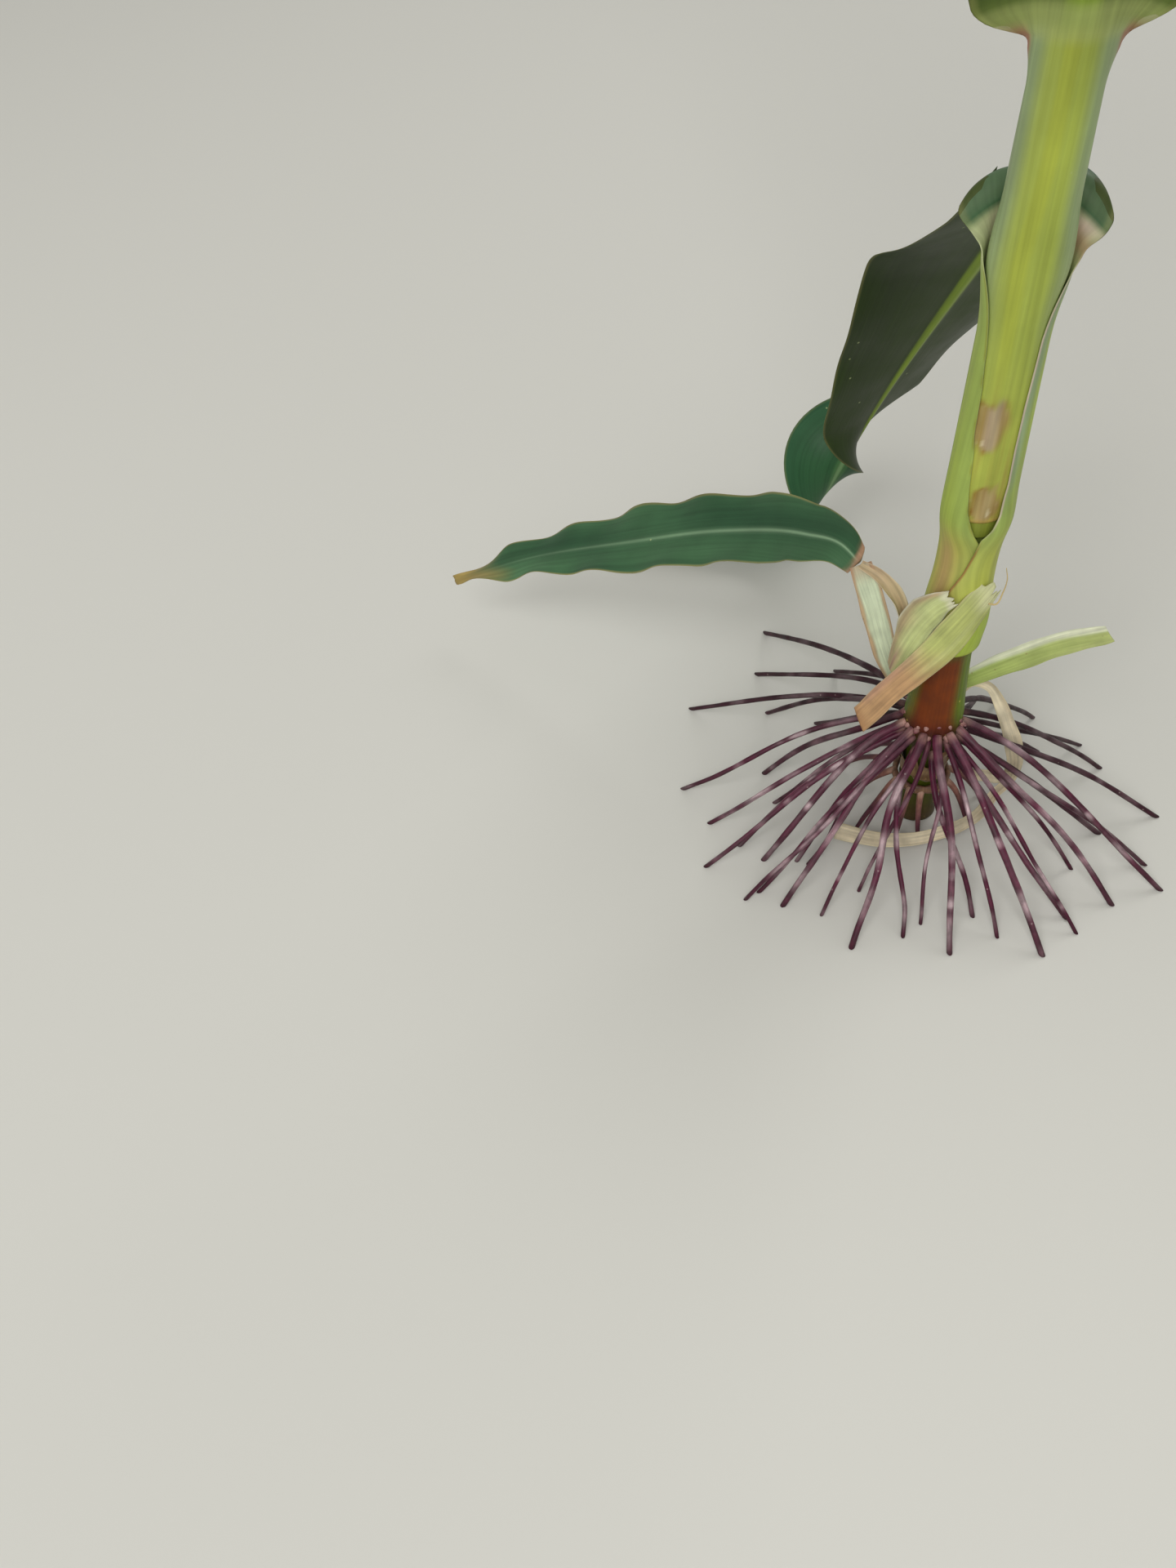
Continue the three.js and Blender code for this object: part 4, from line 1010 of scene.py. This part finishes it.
def stubPaint(s, t, seed):  # fresh light green, cream along its upper edge
    face = coats(
        "#8FA844",
        ("#B2BA76", 0.4 + 0.6 * s + 0.2 * ripple(t * 4, s * 3, seed)),
        ("#E3E4CC", 0.85 * smooth(t + 0.1 * ripple(s * 8, t, seed), 0.2, 0.6)))
    return face, tint("#7E9C3E", "#A9BA66", s)


def strapPaint(s, t, seed):  # bleached, a little darker and greyer in places
    face = coats(
        "#DCCFB2",
        ("#B09D80", 0.3 + 0.4 * ripple(t * 2, s * 22, seed)),
        ("#DCCDA8", 0.6 * smooth(np.abs(t), 0.7, 1)))
    return face, tint(face, "#8F7858", 0.4)


def scalePaint(s, t, seed):  # old sheath rags, brown
    face = tint("#9A7A50", "#5E4228", patchy(t * 3, s * 6, seed))
    return face, tint(face, "#4A3420", 0.4)


strips = {
    "torn_band": {
        "points": [[9.6, -13.3, 150.5], [2.2, -16.2, 142.6], [-7.9, -15.4, 124.9], [-22, -9, 100],
                   [-34, 2, 68]],
        "width": [[0, 13], [0.08, 15.5], [0.25, 15], [0.5, 12.5], [0.7, 11.6], [1, 11.4]], "thick": 0.8,
        "facing": [[0, -68, 14], [0.15, -84, 18], [0.4, -115, 25], [1, -135, 30]],
        "curl": [[0, 34], [0.3, 26], [0.55, 10], [1, 6]], "ragged": 0.07, "endCut": 0.5, "startTeeth": 4.2,
        "crease": 0.25, "paint": bandPaint},
    "torn_flap": {
        "points": [[-7.4, -13.4, 150], [-11.4, -11.4, 146], [-16, -7.9, 136], [-20.8, -3.1, 117],
                   [-22.4, 1.6, 99]],
        "width": [[0, 8], [0.25, 16], [0.5, 16.5], [1, 9]], "thick": 0.7,
        "facing": [[0, -110, 10], [1, -160, 25]], "curl": [[0, 30], [0.5, 34], [1, 20]], "ragged": 0.08,
        "startTeeth": 2.0, "crease": 0.5, "paint": flapPaint},
    "lowest_strip": {
        "points": [[-12.6, 8.2, 76], [-21, 12, 100], [-29, 17, 128], [-33, 26, 141]],
        "width": [[0, 7], [0.35, 12.5], [0.7, 13], [1, 10]], "thick": 0.8,
        "facing": [[0, -130, 0], [1, -120, 30]], "curl": [[0, -30], [0.7, -38], [1, -10]],
        "crease": 0.2, "paint": stripPaint},
    "crumpled_sheath": {
        "points": [[-33, 26, 141], [-27, 20, 139], [-21, 14, 132], [-17, 9, 120], [-17, 6, 108]],
        "width": [[0, 4], [0.4, 8], [1, 5]], "thick": 0.7,
        "facing": [[0, -100, 35], [0.5, -70, 20], [1, -60, 0]], "curl": [[0, -20], [0.5, -70], [1, -40]],
        "crease": 0.9, "ragged": 0.14, "paint": crumplePaint},
    "lowest_blade": {
        "points": [[-33.4, 28, 141.2], [-38, 38, 143], [-50, 57, 137], [-80, 92, 118], [-125, 130, 90],
                   [-175, 165, 62], [-225, 190, 34]],
        "width": [[0, 15], [0.04, 20], [0.1, 28], [0.2, 34], [0.5, 38], [0.85, 22], [1, 3]], "thick": 0.5,
        "facing": [[0, -115, 30], [0.1, -100, 45], [0.5, -95, 62], [1, -80, 75]],
        "curl": [[0, -40], [0.1, -24], [0.5, -14], [1, -8]], "rows": 150, "across": 28, "wave": 2.6,
        "waveLength": 46, "keel": 1.6, "keelWide": 2.2, "ragged": 0.02, "paint": oldBladePaint},
    "sheath_stub": {
        "points": [[12.2, 5.6, 80], [34, 9, 84], [58, 12, 88], [83, 12, 91]],
        "width": [[0, 9], [0.4, 12.5], [0.8, 11], [0.94, 9.5], [1, 8]], "thick": 1.2,
        "facing": [[0, -90, 55], [1, -90, 60]], "curl": [[0, -60], [0.5, -40], [1, -25]], "endCut": -0.25,
        "keel": 0.8, "paint": stubPaint},
    "dry_strap": {
        "points": [[13.4, 4.5, 73], [21, 8, 75.5], [28.5, 7.5, 72.5], [33.5, 2.5, 65], [38, -1.5, 54],
                   [42.5, -4.5, 39], [44.6, -5.4, 23], [42.5, -7, 16.5], [37, -9.5, 13.5], [24, -19.5, 9.5],
                   [4, -25.5, 8], [-26, -24, 8], [-45, -16, 10]],
        "width": [[0, 2.5], [0.1, 4.5], [0.2, 7], [0.3, 8.6], [0.38, 8.6], [0.46, 5], [0.6, 5.6], [0.85, 7],
                  [1, 8.5]],
        "thick": 0.5,
        "facing": [[0, -100, 30], [0.2, -92, 34], [0.35, -98, 38], [0.46, -105, 45], [0.56, -95, 55],
                   [1, -90, 60]],
        "curl": [[0, -40], [0.3, -16], [1, 10]],
        "rows": 160, "crease": 0.3, "wave": 0.5, "waveLength": 22, "ragged": 0.08, "paint": strapPaint},
    "strap_end": {
        "points": [[43.6, -6.4, 20], [37, -8.6, 24], [26, -10, 29.5], [16, -10.5, 36]],
        "width": [[0, 5], [0.3, 6.6], [0.7, 5.4], [1, 2]], "thick": 0.5,
        "facing": [[0, -90, 40], [1, -100, 50]], "curl": [[0, -20], [1, 20]],
        "crease": 0.4, "ragged": 0.12, "paint": strapPaint}}
tornPieces = {"torn_band": (tornTissue, "torn_sheath", ["torn_sheath_band"]),
              "torn_flap": (tornTissue, "torn_sheath", ["torn_sheath_flap"]),
              "lowest_strip": (tornTissue, "torn_sheath", ["lowest_leaf_strip"]),
              "crumpled_sheath": (tornTissue, "torn_sheath", []),
              "lowest_blade": (leafTissue, "leaf", ["lowest_leaf_blade"]),
              "sheath_stub": (tornTissue, "torn_sheath", ["sheath_stub"]),
              "dry_strap": (dryTissue, "dry_sheath", ["dry_strap"]),
              "strap_end": (dryTissue, "dry_sheath", [])}
for seed, (key, rest) in enumerate(tornPieces.items(), 30):
    putMesh(f"{key}_piece", [ribbon(strips[key], seed)], *rest)


def sheathScales():
    # dry brown rags of the lowest sheaths, low on the stalk between the roots: short curved tatters
    rng = np.random.default_rng(5)
    shells = []
    for i in range(9):
        turn = viewer + (i - 4) * 36 + rng.uniform(-8, 8)
        foot, length = rng.uniform(30, 36), rng.uniform(13, 24)
        rise = np.linspace(0, 1, 16)
        z = foot + length * rise * rng.uniform(0.55, 1)
        away = stalkRadius(z) + 0.5 + 4.5 * rise ** 2 * rng.uniform(0.3, 1)
        points = axisAt(z) + heading(turn + 8 * rise) * away[:, None]
        strip = {"points": points[::5], "width": [[0, 11], [0.5, 9], [1, 2.5]], "thick": 0.5,
                 "rows": 26, "across": 12, "facing": [[0, turn, 0], [1, turn, 25]],
                 "curl": [[0, 28], [1, 10]], "ragged": 0.2, "crease": 0.5, "startTeeth": 1.0,
                 "paint": scalePaint}
        shells.append(ribbon(strip, 100 + i))
    return shells


putMesh("sheath_scales", sheathScales(), dryTissue, "dry_sheath")


def tubes(paths, radius, sides):  # many thin strands at once: rings square to each path, closed at their ends
    count, steps = paths.shape[:2]
    _, side, other = framesAlong(paths, [0.31, 0.17, 0.93], axis=1)  # a slant that no strand follows
    turn = np.linspace(0, 2 * np.pi, sides, endpoint=False)[:, None]
    rings = paths[:, :, None] + radius[..., None, None] * (
        side[:, :, None] * np.cos(turn) + other[:, :, None] * np.sin(turn))
    first = np.arange(count)[:, None] * steps * sides
    quads = (gridFaces(steps, sides)[None] + first[..., None]).reshape(-1, 4)
    return rings, [quads, np.arange(sides)[::-1] + first, np.arange(sides) + (steps - 1) * sides + first]


def tornFibre():  # one hair-like fibre that springs from the torn band's end
    path, share, _ = curve([[7.6, -16.4, 147], [9.2, -18, 147.6], [11.2, -19, 154.6], [11.6, -19.1, 161],
                            [10.4, -18.7, 166.6]], 40)
    rings, faces = tubes(path[None], mix(0.42, 0.16, share)[None], 6)
    return shell(rings, faces, linear("#C9B27E"), np.zeros(3))


putMesh("torn_fibre", [tornFibre()], dryTissue, "dry_sheath")
print("torn and dry pieces made")


# ear: a core round the cob, husk leaves lapped over it, and silks out of its tip

ear = {"length": 215, "thick": 46, "lean": 13, "shank": 26, "standOff": 5.2, "leaves": 11, "leaf": 0.45,
       "silks": 230,
       "profile": [[0, 0.33], [0.06, 0.52], [0.2, 0.83], [0.4, 1], [0.6, 0.93], [0.8, 0.63], [0.94, 0.35],
                   [1, 0.24]],
       "silkLine": [[-14, 0, 0], [2, 0, 0], [14, 1, 0], [30, 8, 0], [43, 22, 0], [45, 38, 0], [36, 54, 0]]}
earLeaf = measures(leafRule["earLeaf"])
earOut = heading(earLeaf["heading"])


def earFrame():  # where the ear starts and bends, which way it points, and two directions square to that
    foot = earLeaf["node"] + earLeaf["sheath"] + ear["shank"]
    lean = math.radians(ear["lean"])
    direction = upward * math.cos(lean) + earOut * math.sin(lean)
    start = axisAt(foot) + earOut * (stalkRadius(foot) + plant["clearance"] + ear["standOff"])
    knee = start + earOut * 8 + upward * 16
    side = unit(np.cross(direction, earOut))
    return start, knee, direction, side, np.cross(side, direction)


def huskLeaves(rng):  # the core and, round it, leaf after leaf from the outermost inwards
    start, knee, direction, side, other = earFrame()
    share = np.linspace(0, 1, 90)
    radius = evened(graded(share, ear["profile"]), 4) * ear["thick"] / 2
    turn = np.linspace(0, 360, 48, endpoint=False)[None]

    def around(angle):
        a = np.radians(angle)[..., None]
        return side * np.cos(a) + other * np.sin(a)
    shank = np.array([start - 0.8 * earOut, start + upward * 3, knee])
    path = np.concatenate([curve(shank, 10)[0][:-1], knee + direction * (share * ear["length"])[:, None]])
    girth = np.concatenate([np.linspace(5.4, 7.0, 9), radius * 0.95])
    high = path[:, 2:]
    paint = tint("#9DB35E", "#C3CC84", 0.5 + 0.4 * ripple(turn / 9, high / 60, 2))
    rings = path[:, None] + around(turn) * girth[:, None, None]
    shells = [tubeShell(rings, paint, stacked(np.radians(turn) * 20, high, 1))]
    t = np.linspace(-1, 1, 25)[None]
    for i in range(ear["leaves"]):
        begin, end = 0.02 + 0.035 * i, min(1.02, 0.78 + 0.027 * i)
        s = np.linspace(begin, end, 70)[:, None]
        u = (s - begin) / (end - begin)
        half = 96 * (1 - u ** 3.2) ** 0.75 * (0.75 + 0.25 * smooth(u, 0, 0.2)) + 1.5
        layer = 0.6 + 0.17 * (ear["leaves"] - i) * (1 - 0.3 * u)
        edge = 0.9 * smooth(np.abs(t), 0.75, 1) * rng.uniform(0.2, 1)  # margins and tip stand off
        tip = 2.2 * smooth(u, 0.9, 1) * rng.uniform(0, 1)
        away = np.interp(s, share, radius) * 0.95 + layer + (edge + tip) + 0.2 * np.cos(t * 40)
        middle = (knee + direction * (s * ear["length"]))[:, None]
        spread = around(goldenAngle * i + half * t)
        uneven = ripple(t * 6, u * 3, 20 + i)
        paint = coats(
            "#8FAA50",
            ("#BCC87C", 0.45 + 0.45 * uneven),
            ("#D5D8A0", 0.6 * smooth(np.abs(t), 0.86, 1)),
            ("#B39A60", smooth(u + 0.05 * uneven, 0.9, 1)))
        upper, under = middle + spread * away[..., None], middle + spread * (away - ear["leaf"])[..., None]
        grain = stacked(np.radians(half * t) * 20, s * ear["length"], i)
        shells.append(sheetShell(upper, under, paint, paint, grain))
    return shells


def silkThreads(rng):  # out of the tip in a bundle that spreads, wanders and hangs over
    _, knee, direction, side, _ = earFrame()
    tip = knee + direction * ear["length"]
    count, steps = ear["silks"], 26
    step = np.linspace(0, 1, steps)[None, :, None]
    wander = rng.normal(0, 1, (count, 1, 2))
    length = rng.uniform(0.62, 1.05, (count, 1, 1))
    swirl = np.cumsum(rng.normal(0, 1, (count, steps, 2)), axis=1) * 0.28 * step
    shift = wander * (1.6 + 6.5 * step ** 1.2) * 0.55 + swirl
    out, sideways = shift[..., :1], shift[..., 1:]
    line = curve(ear["silkLine"], steps)[0][None, :, :2]
    base = line * np.where(line[..., :1] > 0, length, 1)
    paths = (tip + direction * base[..., :1] + earOut * (base[..., 1:] + out) + side * sideways * 1.1
             - upward * 0.5 * np.abs(out) * step)
    along = step[..., 0]
    rings, faces = tubes(paths, np.broadcast_to(mix(0.4, 0.22, along), (count, steps)), 4)
    paint = tint("#CFC07A", "#8A4A26", smooth(along + rng.uniform(-0.25, 0.25, (count, 1)), 0.25, 0.85))
    grain = stacked(np.arange(count) * 3.0, 0, 0)
    return shell(rings, faces, paint[:, :, None], grain[:, None, None])


earRandom = np.random.default_rng(8)
putMesh("ear_husk_leaves", huskLeaves(earRandom), huskTissue, "husk", ["ear_husk"])
putMesh("ear_silk_threads", [silkThreads(earRandom)], silkThread, "silk", ["ear_silk"])
print("ear made")


# tassel: a middle spike and arching branches, all set with paired spikelets, some with anthers hanging out

tassel = {"length": 300, "branches": 11, "spikelet": 8.5, "anther": 5.5, "gap": 5.2, "spikeGap": 3.4,
          "bend": [12, 5, 0], "browned": 0.2, "open": 0.34}
tasselFoot = axisAt(stalkTop + plant["clearance"])


def spikeletShape():  # a pointed lens of four sides, its length along +X
    turn = np.linspace(0, 2 * np.pi, 4, endpoint=False) + 0.4
    share, radius = np.array([[0.12, 0.4, 0.75], [0.7, 1.0, 0.55]])[..., None]
    ring = stacked(share, radius * np.cos(turn) * 0.15, radius * np.sin(turn) * 0.12).reshape(-1, 3)
    points = np.concatenate([[[0, 0, 0]], ring, [[1, 0, 0]]])
    k = np.arange(4)
    ends = [np.stack([0 * k, (k + 1) % 4 + 1, k + 1], -1), np.stack([0 * k + 13, k + 9, (k + 1) % 4 + 9], -1)]
    return points, [gridFaces(3, 4) + 1, *ends]


def scatter(places, forward, out, size):  # copies of the small shape, each turned to its own frame
    points, faces = spikeletShape()
    forward = unit(forward)
    side = unit(np.cross(forward, out))
    axes = np.stack([forward, side, np.cross(side, forward)], 1)
    copies = places[:, None] + np.einsum("pk,nkc->npc", points, axes) * size[:, None, None]
    first = (np.arange(len(places)) * len(points))[:, None, None]
    return copies, [(f[None] + first).reshape(-1, f.shape[1]) for f in faces]


def branchPath(index, steps):
    # out of the spike at a steep angle, then over by the branch's own spread
    height = 14 + index * 92 / (tassel["branches"] - 1)
    length = 215 - 8 * index + 14 * math.sin(2.1 * index)
    share = np.linspace(0, 1, steps)
    pitch = math.radians(74) - math.radians(64 - 2.5 * index) * (np.floor(share * 10) / 10) ** 0.8 * 1.35
    pitch = evened(pitch, 3)[:, None]
    step = length / (steps - 1)
    move = heading(goldenAngle * index) * np.cos(pitch) + upward * np.sin(pitch)
    line = np.concatenate([np.zeros((1, 3)), np.cumsum(move * step, axis=0)])[:-1]
    return tasselFoot + upward * height + line, length


def stem(line, radius, sides):  # a bare stem along a line
    rings = tubes(line[None], radius[None], sides)[0][0]
    share = np.linspace(0, 1, len(line))[:, None]
    grain = stacked(np.linspace(0, 6, sides), np.linspace(0, 200, len(line))[:, None], 0)
    return tubeShell(rings, tint("#9DAA56", "#B9B266", share), grain)


def makeTassel():
    rng = np.random.default_rng(12)
    stems, places, forwards, outs = [], [], [], []
    share = np.linspace(0, 1, 60)[:, None]
    spike = tasselFoot + upward * share * tassel["length"] + np.array(tassel["bend"]) * share ** 2
    # line, length, gap, rows of spikelets, share of the length left bare
    lines = [(spike, tassel["length"], tassel["spikeGap"], 4, 0.26)]
    lines += [(*branchPath(i, 50), tassel["gap"], 2, 0.1) for i in range(tassel["branches"])]
    for line, length, gap, rows, bare in lines:
        at = np.linspace(0, 1, len(line))
        stems.append(stem(line, mix(1.7 if rows == 2 else 2.6, 0.5, at), 8))
        frames = (line, *framesAlong(line, [0.2, 0.1, 1.0]))
        for k in range(rows):
            where = np.arange(bare * length, length - 9, gap) / length + 0.3 * gap / length * (k % 2)
            where = np.minimum(where + rng.uniform(-0.15, 0.15, len(where)) * gap / length, 1)
            turn = (2 * np.pi * k / rows + rng.uniform(-0.5, 0.5, len(where)) + where * 3)[:, None]
            point, tangent, side, other = [graded(where, np.c_[at, values]) for values in frames]
            out = side * np.cos(turn) + other * np.sin(turn)
            for twin in (-0.5, 0.5):
                shift = np.cross(tangent, out) * twin * 1.6
                places.append(point + out * 1.1 + shift)
                forwards.append(tangent + out * 0.42 + shift * 0.1)
                outs.append(out)
    places, forwards, outs = map(np.concatenate, (places, forwards, outs))
    count = len(places)
    size = tassel["spikelet"] * rng.uniform(0.8, 1.1, count)
    copies, faces = scatter(places, forwards, outs, size)
    paint = coats(
        "#A8A552",
        ("#C8B06A", rng.uniform(0, 1, count)),
        ("#7E7A44", (rng.uniform(0, 1, count) < tassel["browned"]) * 0.7))
    paint = paint[:, None] * np.linspace(0.8, 1.15, copies.shape[1])[:, None]
    scales = shell(copies, faces, paint, stacked(np.arange(count) * 2.0, 0, 0)[:, None])
    chosen = np.flatnonzero(rng.uniform(0, 1, count) < tassel["open"])
    hang = places[chosen] + unit(forwards[chosen]) * size[chosen, None] * 0.75
    down = rng.normal(0, 0.25, (len(chosen), 3)) - upward
    size = np.full(len(chosen), tassel["anther"])
    copies, faces = scatter(hang + down * 1.5, down, outs[chosen] + 0.01, size)
    paint = tint("#C9A24A", "#B5793A", rng.uniform(0, 1, len(chosen)))
    anthers = shell(copies, faces, paint[:, None], np.zeros(3))
    putMesh("tassel_stems", stems, sheathTissue, "tassel", ["tassel"])
    putMesh("tassel_spikelets", [scales, anthers], spikeletScale, "tassel", ["tassel"])


makeTassel()
print("tassel made")


# stage: a plain pale floor just under the foot, and soft light from all round

stage = {"floor": "#D9D7D0", "floorSize": 9, "floorDrop": 0.0006, "sky": "#EEEFEA", "skyStrength": 0.5}
floorMesh = bpy.data.meshes.new("floor")
reach = stage["floorSize"] / 2
corners = [(x * reach, y * reach, -stage["floorDrop"]) for x, y in ((-1, -1), (1, -1), (1, 1), (-1, 1))]
floorMesh.from_pydata(corners, [], [(0, 1, 2, 3)])
floor = bpy.data.objects.new("floor", floorMesh)
bpy.context.scene.collection.objects.link(floor)
floorPaint = bpy.data.materials.new("floor_paint")
floorPaint.use_nodes = True
floorShader = floorPaint.node_tree.nodes["Principled BSDF"]
floorShader.inputs["Base Color"].default_value = (*linear(stage["floor"]), 1)
floorShader.inputs["Roughness"].default_value = 0.9
floorMesh.materials.append(floorPaint)

world = bpy.data.worlds.new("sky")
world.use_nodes = True
background = world.node_tree.nodes["Background"]
background.inputs["Color"].default_value = (*linear(stage["sky"]), 1)
background.inputs["Strength"].default_value = stage["skyStrength"]
bpy.context.scene.world = world
lamps = {"key": {"place": (-1.6, -2.6, 3.6), "aim": (0, 0, 0.7), "size": 3.0, "power": 85},
         "front": {"place": (-0.5, -1.5, 1.3), "aim": (0, 0, 0.1), "size": 1.4, "power": 7},
         "rim": {"place": (2.4, 2.2, 3.0), "aim": (0, 0, 1.0), "size": 2.5, "power": 40}}
for name, lamp in lamps.items():
    light = bpy.data.lights.new(name, "AREA")
    light.shape, light.size, light.energy = "DISK", lamp["size"], lamp["power"]
    holder = bpy.data.objects.new(name, light)
    bpy.context.scene.collection.objects.link(holder)
    holder.location = lamp["place"]
    back = Vector(lamp["place"]) - Vector(lamp["aim"])
    holder.rotation_euler = back.to_track_quat("Z", "Y").to_euler()
bpy.context.scene.view_settings.view_transform = "Standard"
print("stage set")
